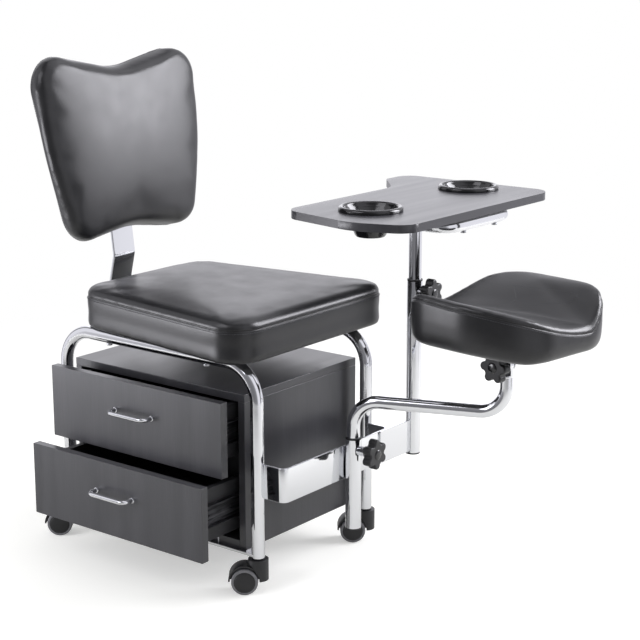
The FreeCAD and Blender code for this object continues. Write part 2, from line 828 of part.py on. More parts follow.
def tilt_tongue():
    """The forged end of the arm: a spigot in the tube, a flange on its rim and the drilled tongue."""
    low = -pivot_stand
    rim = vec(0, 0, low - tongue_flange)
    spigot = rod(rim - vec(0, 0, tongue_spigot), rim, tube_diameter - 2 * tube_wall)
    flange = rod(rim, vec(0, 0, low), tube_diameter)
    half, side = tongue_thickness / 2, ear_radius - 2 * ear_gap
    blade = block((-side, side), (-half, half), (low, 0))
    blade = blade.common(rod(vec(0, 0, low), vec(0, 0, 0), tube_diameter))
    eye = rod(vec(0, -half, 0), vec(0, half, 0), 2 * side)
    hole = rod(vec(0, -half, 0), vec(0, half, 0), stud_diameter + 2 * running_gap)
    return spigot.fuse(flange).fuse(blade).fuse(eye).cut(hole).removeSplitter()


def yoke_screw_places():
    """The seats of the screw heads under the yoke: two towards each end."""
    ends = yoke_length / 2 - bolt_head, ear_radius + bolt_head
    return [vec(side * x, 0, pad_stand - yoke_plate) for x in ends for side in (-1, 1)]


def tilt_yoke():
    """The bracket under the pad: a plate with two ears that straddle the tongue."""
    top = pad_stand
    x, y = yoke_length / 2, yoke_width / 2
    shape = block((-x, x), (-y, y), (top - yoke_plate, top))
    for side in (-1, 1):
        near = side * (tongue_thickness / 2 + ear_gap)
        y = sorted((near, near + side * ear_thickness))
        ear = block((-ear_radius, ear_radius), y, (0, top - yoke_plate))
        ear = ear.fuse(rod(vec(0, y[0], 0), vec(0, y[1], 0), 2 * ear_radius))
        shape = shape.fuse(ear.cut(rod(vec(0, y[0], 0), vec(0, y[1], 0), stud_diameter + 2 * running_gap)))
    for place in yoke_screw_places():
        shape = shape.cut(bolt_hole(place, vec(0, 0, 1), yoke_plate))
    return shape.removeSplitter()


def tilt_knob():
    """The knob and through bolt of the tilt joint."""
    outer = tongue_thickness / 2 + ear_gap + ear_thickness
    head = vec(0, outer + turning_gap + tilt_head_height, 0)
    return star_knob(vec(0, -outer - tilt_knob_stand, 0), vec(0, -1, 0), head, tilt_head)


def pad_half_width(x):
    """Half the pad's width at x, less where its plan corners round off."""
    past = max(abs(x) - (pad_length / 2 - pad_corner), 0)
    return pad_width / 2 - pad_corner + math.sqrt(pad_corner**2 - past**2)


def pad_section(x, draw):
    """The pad's cross section at x, drawn in: a belly, upright sides, two ridges and a slanting valley."""
    half = pad_half_width(x)
    low = pad_stand + draw / 2
    ridge = pad_stand + pad_ridge + pad_ridge_round / 5 - draw
    valley = pad_stand + pad_valley + pad_valley_fall * (0.5 - x / pad_length) - draw / 2
    middle = half * pad_valley_slant * 2 * x / pad_length
    corners = [(-half, low + pad_near_belly, pad_edge_round), (-half * pad_near_share, low, pad_edge_round),
               (half * pad_flat_share, low, pad_edge_round),
               (half * pad_far_share, low - pad_sag, pad_edge_round),
               (half, low + pad_far_belly, pad_edge_round), (half, ridge, pad_ridge_round),
               (middle, valley, pad_valley_round), (-half, ridge, pad_ridge_round)]
    return rounded_outline([vec(x, y, z) for y, z, _ in corners], [r for _, _, r in corners])


def footrest_pad():
    """The footrest's board and its saddle cushion, with a slanting valley for the leg."""
    x, y = pad_length / 2 - pad_corner / 2, pad_width / 2 * pad_flat_share - pad_board_margin
    corners = [vec(x, -y, pad_stand), vec(x, y, pad_stand), vec(-x, y, pad_stand), vec(-x, -y, pad_stand)]
    blank = prism(rounded_outline(corners, [pad_edge_round] * 4), vec(0, 0, board))
    plate = blank
    for place in yoke_screw_places():
        plate = plate.cut(bolt_hole(place, vec(0, 0, 1), yoke_plate + bolt_bite, 0))
    end = pad_length / 2
    stations = [(end - pad_corner * share, draw)
                for share, draw in ((1, 0), (0.65, 0.5), (0.38, 1.5), (0.18, 4), (0.07, 9), (0.02, 16))]
    sections = [(-x, draw) for x, draw in reversed(stations)] + stations
    cushion = Part.makeLoft([pad_section(x, draw) for x, draw in sections], True, True)
    screws = group([bolt(place, vec(0, 0, 1), yoke_plate + bolt_bite) for place in yoke_screw_places()])
    return {"footrest_board": plate, "footrest_cushion": cushion.cut(blank), "footrest_screws": screws}


def tray_place(x, y, z):
    """A point of the tray, measured from the column."""
    return vec(column_x + x, column_y + y, z)


def cup_centres():
    return {"near": tray_place(cup_offset_x, near_cup_offset_y, tray_top_z),
            "far": tray_place(cup_offset_x, far_cup_offset_y, tray_top_z)}


def loop_points():
    """The U of tube under the tray, its near leg over the column."""
    back = loop_front - loop_depth
    corners = [(back, 0), (loop_front, 0), (loop_front, loop_width), (back, loop_width)]
    return [tray_place(x, y, loop_z) for x, y in corners]


def loop_screw_places():
    """The seats of the screw heads under the loop: two on its front run, one on each leg."""
    spots = [(loop_front, loop_width * 0.25), (loop_front, loop_width * 0.75)]
    spots += [(loop_front - loop_depth * 0.85, y) for y in (0, loop_width)]
    return [tray_place(x, y, tray_under_z - tube_diameter) for x, y in spots]


def tray_board():
    """The work top: a straight front, a bowed near end and a rear edge that steps out to an ear."""
    end, ear = -tray_near, -tray_rear - tray_ear
    step = tray_far - tray_ear_width
    corners = [(tray_front, end + tray_bow, tray_corner), (tray_front - tray_bow_back, end, tray_bow_round),
               (-tray_rear, end + tray_bow, tray_corner), (-tray_rear, step - tray_ear_run, tray_step_round),
               (ear, step, tray_ear_round), (ear, tray_far, tray_tip_round),
               (tray_front, tray_far, tray_corner)]
    points = [tray_place(x, y, tray_under_z) for x, y, _ in corners]
    outline = rounded_outline(points, [r for _, _, r in corners])
    shape = prism(outline, vec(0, 0, tray_thickness))
    up = vec(0, 0, 1)
    for centre in cup_centres().values():
        shape = shape.cut(rod(centre - up * tray_thickness, centre, 2 * (cup_neck_radius + cup_hole_gap)))
    for place in loop_screw_places():
        shape = shape.cut(bolt_hole(place, up, tube_diameter + bolt_bite, 0))
    return shape


def tray_loop():
    shape = bent_tube(loop_points(), loop_bend, tube_diameter, tube_wall)
    for place in loop_screw_places():
        shape = shape.cut(bolt_hole(place - vec(0, 0, 1), vec(0, 0, 1), tube_diameter + 2))
    return shape


def loop_plugs():
    """The caps in the two open ends of the loop."""
    plugs = []
    for end in (loop_points()[0], loop_points()[-1]):
        back = vec(-1, 0, 0)
        plug = rod(end - back * 3 * socket_plug, end, tube_diameter - 2 * tube_wall)
        plugs.append(plug.fuse(rod(end, end + back * socket_plug, tube_diameter)).removeSplitter())
    return group(plugs)


def tray_column():
    """The inner tube of the column, coped to the loop that is welded on it."""
    foot = vec(column_x, column_y, column_top_z - tray_column_insert)
    top = vec(column_x, column_y, loop_z)
    start, end = loop_points()[:2]
    shape = pipe(foot, top, tube_diameter, tube_diameter - 2 * tube_wall)
    return shape.cut(rod(start, end, tube_diameter))


def tray_screws():
    return group([bolt(place, vec(0, 0, 1), tube_diameter + bolt_bite) for place in loop_screw_places()])


def cup(centre):
    """A lift-out bowl: a rolled rim on the tray, a tapering wall and a flat floor."""
    rim, top, neck = cup_rim_radius, cup_rim_height, cup_neck_radius
    foot, low, mouth = cup_foot_radius, -cup_drop, cup_mouth_radius

    def at(radius, height):
        return centre + vec(radius, 0, height)

    lip = (rim - mouth) / 2
    edges = [
        line(at(0, low), at(foot, low)), line(at(foot, low), at(neck, 0)), line(at(neck, 0), at(rim, 0)),
        line(at(rim, 0), at(rim, top - lip)),
        arc(at(rim, top - lip), at(rim - lip, top), at(mouth, top - lip)),
        line(at(mouth, top - lip), at(neck - cup_wall, 0)),
        line(at(neck - cup_wall, 0), at(foot - cup_wall, low + cup_wall)),
        line(at(foot - cup_wall, low + cup_wall), at(0, low + cup_wall)),
        line(at(0, low + cup_wall), at(0, low)),
    ]
    return Part.Face(Part.Wire(edges)).revolve(centre, vec(0, 0, 1), 360)


def placed(shape, frame):
    """A copy of a shape moved by a placement."""
    moved = shape.copy()
    moved.Placement = frame.multiply(moved.Placement)
    return moved


def assemble():
    """Every piece under its name, in the chair's own axes."""
    pieces = {
        "right_hoop": hoop(-leg_y),
        "left_hoop": hoop(leg_y),
        "lower_rails": lower_rails(),
        "tube_inserts": tube_inserts(),
        **seat(),
        "back_bar": back_bar(),
        **backrest(),
        "frame_bolts": frame_bolts(),
        **cabinet_panels(),
        "cabinet_runners": cabinet_runners(),
        **drawer("upper", upper_front_z, upper_open),
        **drawer("lower", lower_front_z, lower_open),
        "tool_bracket": tool_bracket(),
        "column_bracket": column_bracket(),
        "arm_socket": socket(arm_socket_x, arm_socket_y, arm_socket_z, arm_socket_top_z),
        "column_tube": socket(column_x, column_y, column_z, column_top_z),
        "clamp_nuts": clamp_nuts(),
        "arm_knob": clamp_knob(*clamps()["arm"]),
        "column_knob": clamp_knob(*clamps()["column"]),
        "arm_bush": bush(arm_socket_x, arm_socket_y, arm_socket_top_z),
        "footrest_arm": footrest_arm(),
        "column_bush": bush(column_x, column_y, column_top_z),
        "tray_column": tray_column(),
        "tray_loop": tray_loop(),
        "loop_plugs": loop_plugs(),
        "tray_board": tray_board(),
        "tray_screws": tray_screws(),
    }
    pieces.update({f"{name}_cup": cup(centre) for name, centre in cup_centres().items()})
    tilting = {"tilt_tongue": tilt_tongue(), "tilt_yoke": tilt_yoke(), "tilt_knob": tilt_knob()}
    tilting.update(footrest_pad())
    pieces.update({name: placed(shape, pad_frame()) for name, shape in tilting.items()})
    hood, hubs, tyres = caster_hood(), caster_hubs(), caster_tyres()
    for name, foot in legs():
        frame = caster_frame(foot)
        pieces[f"{name}_caster_hood"] = placed(hood, frame)
        pieces[f"{name}_caster_hubs"] = placed(hubs, frame)
        pieces[f"{name}_caster_tyres"] = placed(tyres, frame)
    return pieces


def floor_centre(pieces):
    """The point on the floor under the middle of the whole chair."""
    box = Part.makeCompound(list(pieces.values())).BoundBox
    return vec((box.XMin + box.XMax) / 2, (box.YMin + box.YMax) / 2, 0)


chair = assemble()
origin = floor_centre(chair)
os.makedirs("parts", exist_ok=True)
for piece_name, piece in chair.items():
    piece.translate(origin * -1)
    piece.exportStep(f"parts/{piece_name}.step")
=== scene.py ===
import json
import math

import bmesh
import bpy
import numpy as np
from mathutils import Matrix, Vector
from mathutils.bvhtree import BVHTree

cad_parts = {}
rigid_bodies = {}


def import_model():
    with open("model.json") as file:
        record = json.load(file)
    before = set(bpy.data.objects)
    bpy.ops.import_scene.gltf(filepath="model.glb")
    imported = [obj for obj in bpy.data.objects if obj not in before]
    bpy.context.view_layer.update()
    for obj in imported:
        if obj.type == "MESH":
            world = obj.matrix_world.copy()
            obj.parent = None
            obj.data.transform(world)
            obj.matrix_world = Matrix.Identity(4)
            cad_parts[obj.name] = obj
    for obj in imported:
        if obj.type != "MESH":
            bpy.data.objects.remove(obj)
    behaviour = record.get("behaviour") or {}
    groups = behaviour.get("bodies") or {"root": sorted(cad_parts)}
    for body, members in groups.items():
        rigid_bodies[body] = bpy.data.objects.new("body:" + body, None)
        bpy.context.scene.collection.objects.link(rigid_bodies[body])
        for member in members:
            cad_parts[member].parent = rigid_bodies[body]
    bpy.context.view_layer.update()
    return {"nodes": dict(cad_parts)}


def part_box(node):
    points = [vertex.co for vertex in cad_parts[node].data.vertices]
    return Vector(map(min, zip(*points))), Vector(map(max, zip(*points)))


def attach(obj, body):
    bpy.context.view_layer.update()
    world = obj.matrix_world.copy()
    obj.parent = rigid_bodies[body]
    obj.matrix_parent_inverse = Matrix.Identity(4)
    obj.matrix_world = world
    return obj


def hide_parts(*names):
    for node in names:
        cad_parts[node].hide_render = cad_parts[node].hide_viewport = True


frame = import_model()
nodes = frame["nodes"]

# Leg hoops: two inverted U's of 25 mm steel tube, each bent cold from one length and chromed.
# They carry the seat on their level runs, and each foot stands on a caster.
right_low, right_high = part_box("right_hoop")
_, left_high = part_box("left_hoop")
chair_zero = np.array([(right_low.x + right_high.x) / 2, (right_low.y + left_high.y) / 2, 0.0])
tube = 25.0
leg_x, leg_y = 245.0, 166.0
leg_foot, hoop_top, hoop_bend = 67.8, 428.3, 68.0


def linear(code):
    """An sRGB hex colour as linear red, green, blue and a full alpha."""
    srgb = np.array([int(code[i:i + 2], 16) for i in (1, 3, 5)]) / 255
    light = np.where(srgb <= 0.04045, srgb / 12.92, ((srgb + 0.055) / 1.055) ** 2.4)
    return (*light.tolist(), 1.0)


def add(tree, kind, settings=None, links=None, to=None):
    """A new node, with settings for its sockets by name or number, for its ramp as stops, or for itself.

    Links bring other nodes' outputs in, and to names the node and socket that its first output feeds."""
    node = tree.nodes.new(kind)
    for name, value in (settings or {}).items():
        if name == "stops":
            marks = node.color_ramp.elements
            while len(marks) < len(value):
                marks.new(0.5)
            for mark, (at, shade) in zip(marks, value):
                mark.position = at
                mark.color = shade if isinstance(shade, tuple) else (shade, shade, shade, 1.0)
        elif isinstance(name, int) or name in node.inputs:
            node.inputs[name].default_value = value
        else:
            setattr(node, name, value)
    for name, (source, output) in (links or {}).items():
        tree.links.new(source.outputs[output], node.inputs[name])
    if to:
        tree.links.new(node.outputs[0], to[0].inputs[to[1]])
    return node


def finish_of(name, sockets):
    """A material with one shader, even values on the shader's own sockets, and a place to read from."""
    material = bpy.data.materials.new(name)
    material.use_nodes = True
    tree = material.node_tree
    shader = tree.nodes["Principled BSDF"]
    for socket, value in sockets.items():
        shader.inputs[socket].default_value = value
    return material, tree, shader, add(tree, "ShaderNodeTexCoord")


# Chromed steel: a mirror with a faint cool cast, and the slow ripple that polishing leaves on bent tube.
chrome, tree, shader, place = finish_of("chromed_steel", {"Base Color": linear("#e6e7ea"), "Metallic": 1.0})
ripple = add(tree, "ShaderNodeTexNoise", {"Scale": 1 / 0.045, "Detail": 1.0},
             {"Vector": (place, "Object")})
smear = add(tree, "ShaderNodeTexNoise", {"Scale": 1 / 0.012, "Detail": 4.0},
            {"Vector": (place, "Object")})
add(tree, "ShaderNodeValToRGB", {"stops": [(0.3, 0.05), (0.75, 0.1)]},
    {"Fac": (smear, "Fac")}, (shader, "Roughness"))
add(tree, "ShaderNodeBump", {"Strength": 0.12, "Distance": 0.002},
    {"Height": (ripple, "Fac")}, (shader, "Normal"))


def bent_line(corners, bend, steps):
    """Straight runs whose inner corners become arcs, centre + r0 cos t + bend * ahead * sin t.

    It gives the points and the direction of the line at each."""
    corners = np.asarray(corners, float)
    runs = np.diff(corners, axis=0)
    ways = runs / np.linalg.norm(runs, axis=1, keepdims=True)
    points, heads = [corners[:1]], [ways[:1]]
    for corner, before, after in zip(corners[1:-1], ways, ways[1:]):
        turn = math.acos(float(np.clip(before @ after, -1, 1)))
        inward = (after - before) / np.linalg.norm(after - before)
        centre = corner + inward * bend / math.cos(turn / 2)
        start = corner - before * bend * math.tan(turn / 2) - centre
        t = np.linspace(0, turn, steps)[:, None]
        points.append(centre + np.cos(t) * start + np.sin(t) * bend * before)
        heads.append(np.cos(t) * before - np.sin(t) * start / bend)
    return np.vstack(points + [corners[-1:]]), np.vstack(heads + [ways[-1:]])


def round_section(diameter, count=48):
    """A circle as count points, (r cos a, r sin a)."""
    a = np.linspace(0, 2 * math.pi, count, endpoint=False)
    return np.stack([np.cos(a), np.sin(a)], -1) * diameter / 2


def carried(section, points, heads, across):
    """A section carried along a flat path: point + u * (across x head) + v * across."""
    across = np.asarray(across, float)
    side = np.cross(across, heads)
    return points[:, None] + section[None, :, :1] * side[:, None] + section[None, :, 1:] * across


def framed(points):
    """Places in the chair's millimetres as metres in the frame: points / 1000 + zero."""
    return points / 1000 + chair_zero


def quads_over(count, ring):
    """The corners of the quads between count rings of points, each ring closed on itself."""
    i, j = np.meshgrid(np.arange(count - 1), np.arange(ring), indexing="ij")
    k = (j + 1) % ring
    return np.stack([i * ring + j, i * ring + k, (i + 1) * ring + k, (i + 1) * ring + j], -1).reshape(-1, 4)


def skin(name, rows):
    """A mesh over a grid of points in millimetres: quads along and around it, and a face over each end."""
    count, ring = rows.shape[:2]
    ends = [list(range(ring)), list(range((count - 1) * ring, count * ring))]
    mesh = bpy.data.meshes.new(name)
    mesh.from_pydata(framed(rows.reshape(-1, 3)).tolist(), [], quads_over(count, ring).tolist() + ends)
    shell = bmesh.new()
    shell.from_mesh(mesh)
    bmesh.ops.remove_doubles(shell, verts=shell.verts, dist=1e-6)
    bmesh.ops.recalc_face_normals(shell, faces=shell.faces)
    shell.to_mesh(mesh)
    shell.free()
    mesh.shade_smooth()
    crease = math.radians(35)
    mesh.set_sharp_from_angle(angle=crease)
    piece = bpy.data.objects.new(name, mesh)
    bpy.context.scene.collection.objects.link(piece)
    return piece


def dress(piece, material, body, slot, *replaced):
    """A new piece gets its material and its body, and the CAD nodes that it stands for are hidden. Its slot
    is not used.
    """
    piece.data.materials.clear()
    piece.data.materials.append(material)
    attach(piece, body)
    if replaced:
        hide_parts(*replaced)


for side, y in (("right", -leg_y), ("left", leg_y)):
    corners = [(-leg_x, y, leg_foot), (-leg_x, y, hoop_top), (leg_x, y, hoop_top), (leg_x, y, leg_foot)]
    path = bent_line(corners, hoop_bend, 24)
    hoop = skin(f"{side}_chrome_hoop", carried(round_section(tube), *path, (0, 1, 0)))
    dress(hoop, chrome, "chair", "chrome", f"{side}_hoop")


# Lower rails: flat steel bars welded between the feet of each hoop, chromed with it.
# The cabinet stands on them and is bolted from below.
def coat(material, *names):
    """A better material in the slots of CAD nodes."""
    for name in names:
        for held in nodes[name].material_slots:
            held.material = material


def ease(width, *names):
    """Broken edges on CAD nodes: the loose triangles are joined, then sharp edges get a small round."""
    for name in names:
        join = nodes[name].modifiers.new("joined", "WELD")
        join.merge_threshold = 1e-5
        edge = nodes[name].modifiers.new("broken_edge", "BEVEL")
        edge.width = width
        edge.segments = 3
        edge.limit_method = "ANGLE"
        edge.angle_limit = math.radians(40)
        edge.harden_normals = True


coat(chrome, "lower_rails")
ease(0.0008, "lower_rails")

# Tube inserts and plugs: moulded black nylon bushes in the feet of the legs, and plugs in the sockets.
# They are pressed in, and the caster stems turn in the bushes.
# Moulded nylon: a deep satin black with a fine spark-eroded grain of about half a millimetre.
black_plastic, tree, shader, place = finish_of("moulded_black_nylon", {"Base Color": linear("#232325")})
grain = add(tree, "ShaderNodeTexNoise", {"Scale": 1 / 0.0006, "Detail": 2.0},
            {"Vector": (place, "Object")})
cloud = add(tree, "ShaderNodeTexNoise", {"Scale": 1 / 0.02, "Detail": 3.0},
            {"Vector": (place, "Object")})
add(tree, "ShaderNodeValToRGB", {"stops": [(0.3, 0.34), (0.7, 0.46)]},
    {"Fac": (cloud, "Fac")}, (shader, "Roughness"))
add(tree, "ShaderNodeBump", {"Strength": 0.12, "Distance": 0.0002},
    {"Height": (grain, "Fac")}, (shader, "Normal"))
coat(black_plastic, "tube_inserts", "loop_plugs", "arm_bush", "column_bush")
ease(0.0005, "tube_inserts", "loop_plugs", "arm_bush", "column_bush")

# Casters: twin wheels under a moulded hood that turns on a steel stem in the leg.
# Each wheel is a black nylon disc with a soft grey tread moulded round it and a domed cover in its face.
# Soft tread: a dull mid grey that picks up a little floor dust.
tread, tree, shader, place = finish_of("grey_soft_tread", {})
dust = add(tree, "ShaderNodeTexNoise", {"Scale": 1 / 0.006, "Detail": 5.0},
           {"Vector": (place, "Object")})
add(tree, "ShaderNodeValToRGB", {"stops": [(0.3, linear("#6c6c70")), (0.7, linear("#828286"))]},
    {"Fac": (dust, "Fac")}, (shader, "Base Color"))
add(tree, "ShaderNodeValToRGB", {"stops": [(0.3, 0.45), (0.7, 0.6)]},
    {"Fac": (dust, "Fac")}, (shader, "Roughness"))
wheel_radius, wheel_face, trail, caster_turn = 25.0, 21.0, 25.0, math.radians(38.0)
cover = [(18.2, -0.5), (18.2, 0.5), (17.6, 1.1), (14.0, 1.7), (8.0, 2.2), (0.3, 2.4)]


def turned(profile, centre, ahead, count=48):
    """Pairs (radius, height) turned about an axis: centre + height * ahead + radius * circle."""
    ahead = np.asarray(ahead, float)
    side = np.cross(ahead, (0, 0, 1) if abs(ahead[2]) < 0.9 else (1, 0, 0))
    side = side / np.linalg.norm(side)
    ring = round_section(2, count)
    circle = ring[:, :1] * side + ring[:, 1:] * np.cross(ahead, side)
    profile = np.asarray(profile, float)
    return np.asarray(centre) + profile[:, None, :1] * circle + profile[:, None, 1:] * ahead


legs = [("front_right", leg_x, -leg_y), ("front_left", leg_x, leg_y),
        ("rear_right", -leg_x, -leg_y), ("rear_left", -leg_x, leg_y)]
for leg, x, y in legs:
    coat(black_plastic, f"{leg}_caster_hood", f"{leg}_caster_hubs")
    coat(tread, f"{leg}_caster_tyres")
    ease(0.0012, f"{leg}_caster_hood")
    ahead = np.array([-math.cos(caster_turn), -math.sin(caster_turn), 0.0]) * trail
    across = np.array([-math.sin(caster_turn), math.cos(caster_turn), 0.0])
    for face, way in (("near", -across), ("far", across)):
        centre = np.array([x, y, wheel_radius]) + ahead + way * wheel_face
        disc = skin(f"{leg}_{face}_cover", turned(cover, centre, way))
        dress(disc, black_plastic, f"{leg}_wheels", "black_plastic")


# Cabinet: five boards of 15 mm chipboard faced with a black wood-grain foil, dowelled and glued.
# Its edges are banded with the same foil. The side towards the drawers is open.
def foil(name, along):
    """Foil-faced board: charcoal with pores 1.1 mm apart and 60 mm long in the grain's direction.

    Slow bands 30 mm wide shade it faintly, and the satin lacquer mirrors a pale wall at a low angle."""
    material, tree, shader, place = finish_of(name, {"Specular IOR Level": 0.6})
    pore_size, band_size = (0.0011, 0.06), (0.03, 0.5)
    fine, wide = (tuple(1 / size[way] for way in along) for size in (pore_size, band_size))
    pores_at = add(tree, "ShaderNodeMapping", {"Scale": fine}, {"Vector": (place, "Object")})
    pores = add(tree, "ShaderNodeTexNoise", {"Scale": 1.0, "Detail": 3.0},
                {"Vector": (pores_at, "Vector")})
    bands_at = add(tree, "ShaderNodeMapping", {"Scale": wide}, {"Vector": (place, "Object")})
    bands = add(tree, "ShaderNodeTexNoise", {"Scale": 1.0, "Detail": 2.0},
                {"Vector": (bands_at, "Vector")})
    both = add(tree, "ShaderNodeMath", {"operation": "MULTIPLY"}, {0: (pores, "Fac"), 1: (bands, "Fac")})
    add(tree, "ShaderNodeValToRGB", {"stops": [(0.1, linear("#36363a")), (0.45, linear("#424246"))]},
        {"Fac": (both, "Value")}, (shader, "Base Color"))
    add(tree, "ShaderNodeValToRGB", {"stops": [(0.3, 0.28), (0.75, 0.34)]}, {"Fac": (bands, "Fac")},
        (shader, "Roughness"))
    add(tree, "ShaderNodeBump", {"Strength": 0.08, "Distance": 0.0003},
        {"Height": (pores, "Fac")}, (shader, "Normal"))
    return material


upright_foil = foil("black_upright_grain_foil", (False, False, True))
lying_foil = foil("black_lying_grain_foil", (False, True, False))
coat(upright_foil, "cabinet_front_panel", "cabinet_rear_panel", "cabinet_back_panel")
coat(lying_foil, "cabinet_top", "cabinet_bottom")
ease(0.0009, "cabinet_top", "cabinet_bottom", "cabinet_front_panel", "cabinet_rear_panel",
     "cabinet_back_panel")

# Runners: pressed sheet channels with round lightening holes, screwed to the cabinet and the drawers.
# They are blackened, and the rubbed edges shine a little.
# Blackened sheet steel: nearly black, with lighter rubs about 4 mm wide drawn along the travel.
runner_steel, tree, shader, place = finish_of("blackened_steel", {"Metallic": 0.85})
rub_at = add(tree, "ShaderNodeMapping", {"Scale": (1 / 0.004, 1 / 0.05, 1 / 0.004)},
             {"Vector": (place, "Object")})
rub = add(tree, "ShaderNodeTexNoise", {"Scale": 1.0, "Detail": 4.0}, {"Vector": (rub_at, "Vector")})
add(tree, "ShaderNodeValToRGB", {"stops": [(0.35, linear("#2b2b2e")), (0.75, linear("#68686c"))]},
    {"Fac": (rub, "Fac")}, (shader, "Base Color"))
add(tree, "ShaderNodeValToRGB", {"stops": [(0.3, 0.42), (0.75, 0.28)]},
    {"Fac": (rub, "Fac")}, (shader, "Roughness"))
coat(runner_steel, "cabinet_runners", "upper_drawer_runners", "lower_drawer_runners")

# Drawers: a foil-faced front screwed to a box of thin black board, on the runners.
# The pulls are bows of 8 mm chromed rod with a small foot at each end, screwed from inside.
# Box board: black fibreboard with a paper face, dull, with faint level streaks about a millimetre high.
box_board, tree, shader, place = finish_of("black_box_board", {})
fibre_at = add(tree, "ShaderNodeMapping", {"Scale": (1 / 0.03, 1 / 0.03, 1 / 0.0012)},
               {"Vector": (place, "Object")})
fibre = add(tree, "ShaderNodeTexNoise", {"Scale": 1.0, "Detail": 3.0}, {"Vector": (fibre_at, "Vector")})
add(tree, "ShaderNodeValToRGB", {"stops": [(0.3, linear("#262628")), (0.7, linear("#333336"))]},
    {"Fac": (fibre, "Fac")}, (shader, "Base Color"))
add(tree, "ShaderNodeValToRGB", {"stops": [(0.3, 0.4), (0.7, 0.55)]},
    {"Fac": (fibre, "Fac")}, (shader, "Roughness"))
pull_half, pull_reach, pull_rod, pull_bend = 46.5, 24.0, 8.0, 14.0
pull_foot = [(2.2, 0.0), (5.5, 0.0), (5.5, 1.2), (5.2, 2.0), (3.9, 2.4)]


def in_chair(points):
    """Places of the frame, in metres, as the chair's millimetres."""
    return (np.array(points) - chair_zero) * 1000


for name in ("upper", "lower"):
    coat(upright_foil, f"{name}_drawer_front")
    coat(box_board, f"{name}_drawer_box")
    ease(0.0009, f"{name}_drawer_front", f"{name}_drawer_box")
    low, high = (in_chair(corner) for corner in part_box(f"{name}_drawer_handle"))
    face, level = high[1], (low[2] + high[2]) / 2
    path = bent_line([(-pull_half, face, level), (-pull_half, face - pull_reach, level),
                      (pull_half, face - pull_reach, level), (pull_half, face, level)], pull_bend, 18)
    bow = skin(f"{name}_pull", carried(round_section(pull_rod, 28), *path, (0, 0, 1)))
    dress(bow, chrome, f"{name}_drawer", "chrome", f"{name}_drawer_handle")
    for end, x in (("rear", -pull_half), ("front", pull_half)):
        foot = skin(f"{name}_pull_{end}_foot", turned(pull_foot, (x, face, level), (0, -1, 0), 32))
        dress(foot, chrome, f"{name}_drawer", "chrome")

# Seat: a 12 mm plywood board under a foam pad, covered in black leatherette.
# The top panel and the side band meet in a sewn seam just below the edge, and the cover is stapled below.
# Lining: the boards' faces are covered in thin black spun cloth, dull, with millimetre fluff.
lining, tree, shader, place = finish_of("black_lining_cloth", {"Roughness": 0.85})
fluff = add(tree, "ShaderNodeTexNoise", {"Scale": 1 / 0.0012, "Detail": 5.0},
            {"Vector": (place, "Object")})
add(tree, "ShaderNodeValToRGB", {"stops": [(0.3, linear("#1c1c1e")), (0.7, linear("#2a2a2c"))]},
    {"Fac": (fluff, "Fac")}, (shader, "Base Color"))
add(tree, "ShaderNodeBump", {"Strength": 0.3, "Distance": 0.0004},
    {"Height": (fluff, "Fac")}, (shader, "Normal"))
coat(lining, "seat_board", "backrest_board", "footrest_board")
ease(0.0006, "seat_board", "backrest_board", "footrest_board")

# Leatherette: soft black vinyl with a satin sheen, pebbled in cells about 1.7 mm wide and lightly creased.
# Within two millimetres of its seam, which the pad keeps as an attribute, the cover dips, and its colour is
# darkened there as painted shade in the seam's groove.
leatherette, tree, shader, place = finish_of("black_leatherette", {})
pebble = add(tree, "ShaderNodeTexVoronoi",
             {"Scale": 1 / 0.0017, "feature": "SMOOTH_F1", "Smoothness": 0.6},
             {"Vector": (place, "Object")})
crease = add(tree, "ShaderNodeTexNoise", {"Scale": 1 / 0.0024, "Detail": 4.0},
             {"Vector": (place, "Object")})
tone = add(tree, "ShaderNodeTexNoise", {"Scale": 1 / 0.05, "Detail": 3.0}, {"Vector": (place, "Object")})
relief = add(tree, "ShaderNodeMath", {"operation": "ADD"}, {0: (pebble, "Distance"), 1: (crease, "Fac")})
from_seam = add(tree, "ShaderNodeAttribute", {"attribute_name": "seam"})
off_seam = add(tree, "ShaderNodeMath", {"operation": "ABSOLUTE"}, {0: (from_seam, "Fac")})
# Seam mask: zero on the seam's line, where the bump dips and the colour gets painted shade.
clear = add(tree, "ShaderNodeMapRange",
            {"From Min": 0.0004, "From Max": 0.0018, "interpolation_type": "SMOOTHSTEP"},
            {"Value": (off_seam, "Value")})
shade = add(tree, "ShaderNodeMath", {"operation": "MULTIPLY"}, {0: (tone, "Fac"), 1: (clear, "Result")})
# The darkest stop is painted shade along the seam's groove; the others are the cover's own tone.
add(tree, "ShaderNodeValToRGB",
    {"stops": [(0.02, linear("#0c0c0d")), (0.3, linear("#1e1e20")), (0.7, linear("#252527"))]},
    {"Fac": (shade, "Value")}, (shader, "Base Color"))
add(tree, "ShaderNodeValToRGB", {"stops": [(0.3, 0.3), (0.7, 0.36)]},
    {"Fac": (tone, "Fac")}, (shader, "Roughness"))
groove = add(tree, "ShaderNodeBump", {"Strength": 0.7, "Distance": 0.0012},
             {"Height": (clear, "Result")})
add(tree, "ShaderNodeBump", {"Strength": 0.08, "Distance": 0.0004},
    {"Height": (relief, "Value"), "Normal": (groove, "Normal")}, (shader, "Normal"))
# Thread: spun polyester, a shade lighter than the cover, with a twist of under a millimetre.
thread, tree, shader, place = finish_of("black_thread", {"Roughness": 0.6})
twist = add(tree, "ShaderNodeTexNoise", {"Scale": 1 / 0.0008}, {"Vector": (place, "Object")})
add(tree, "ShaderNodeValToRGB", {"stops": [(0.35, linear("#38383b")), (0.65, linear("#4c4c50"))]},
    {"Fac": (twist, "Fac")}, (shader, "Base Color"))


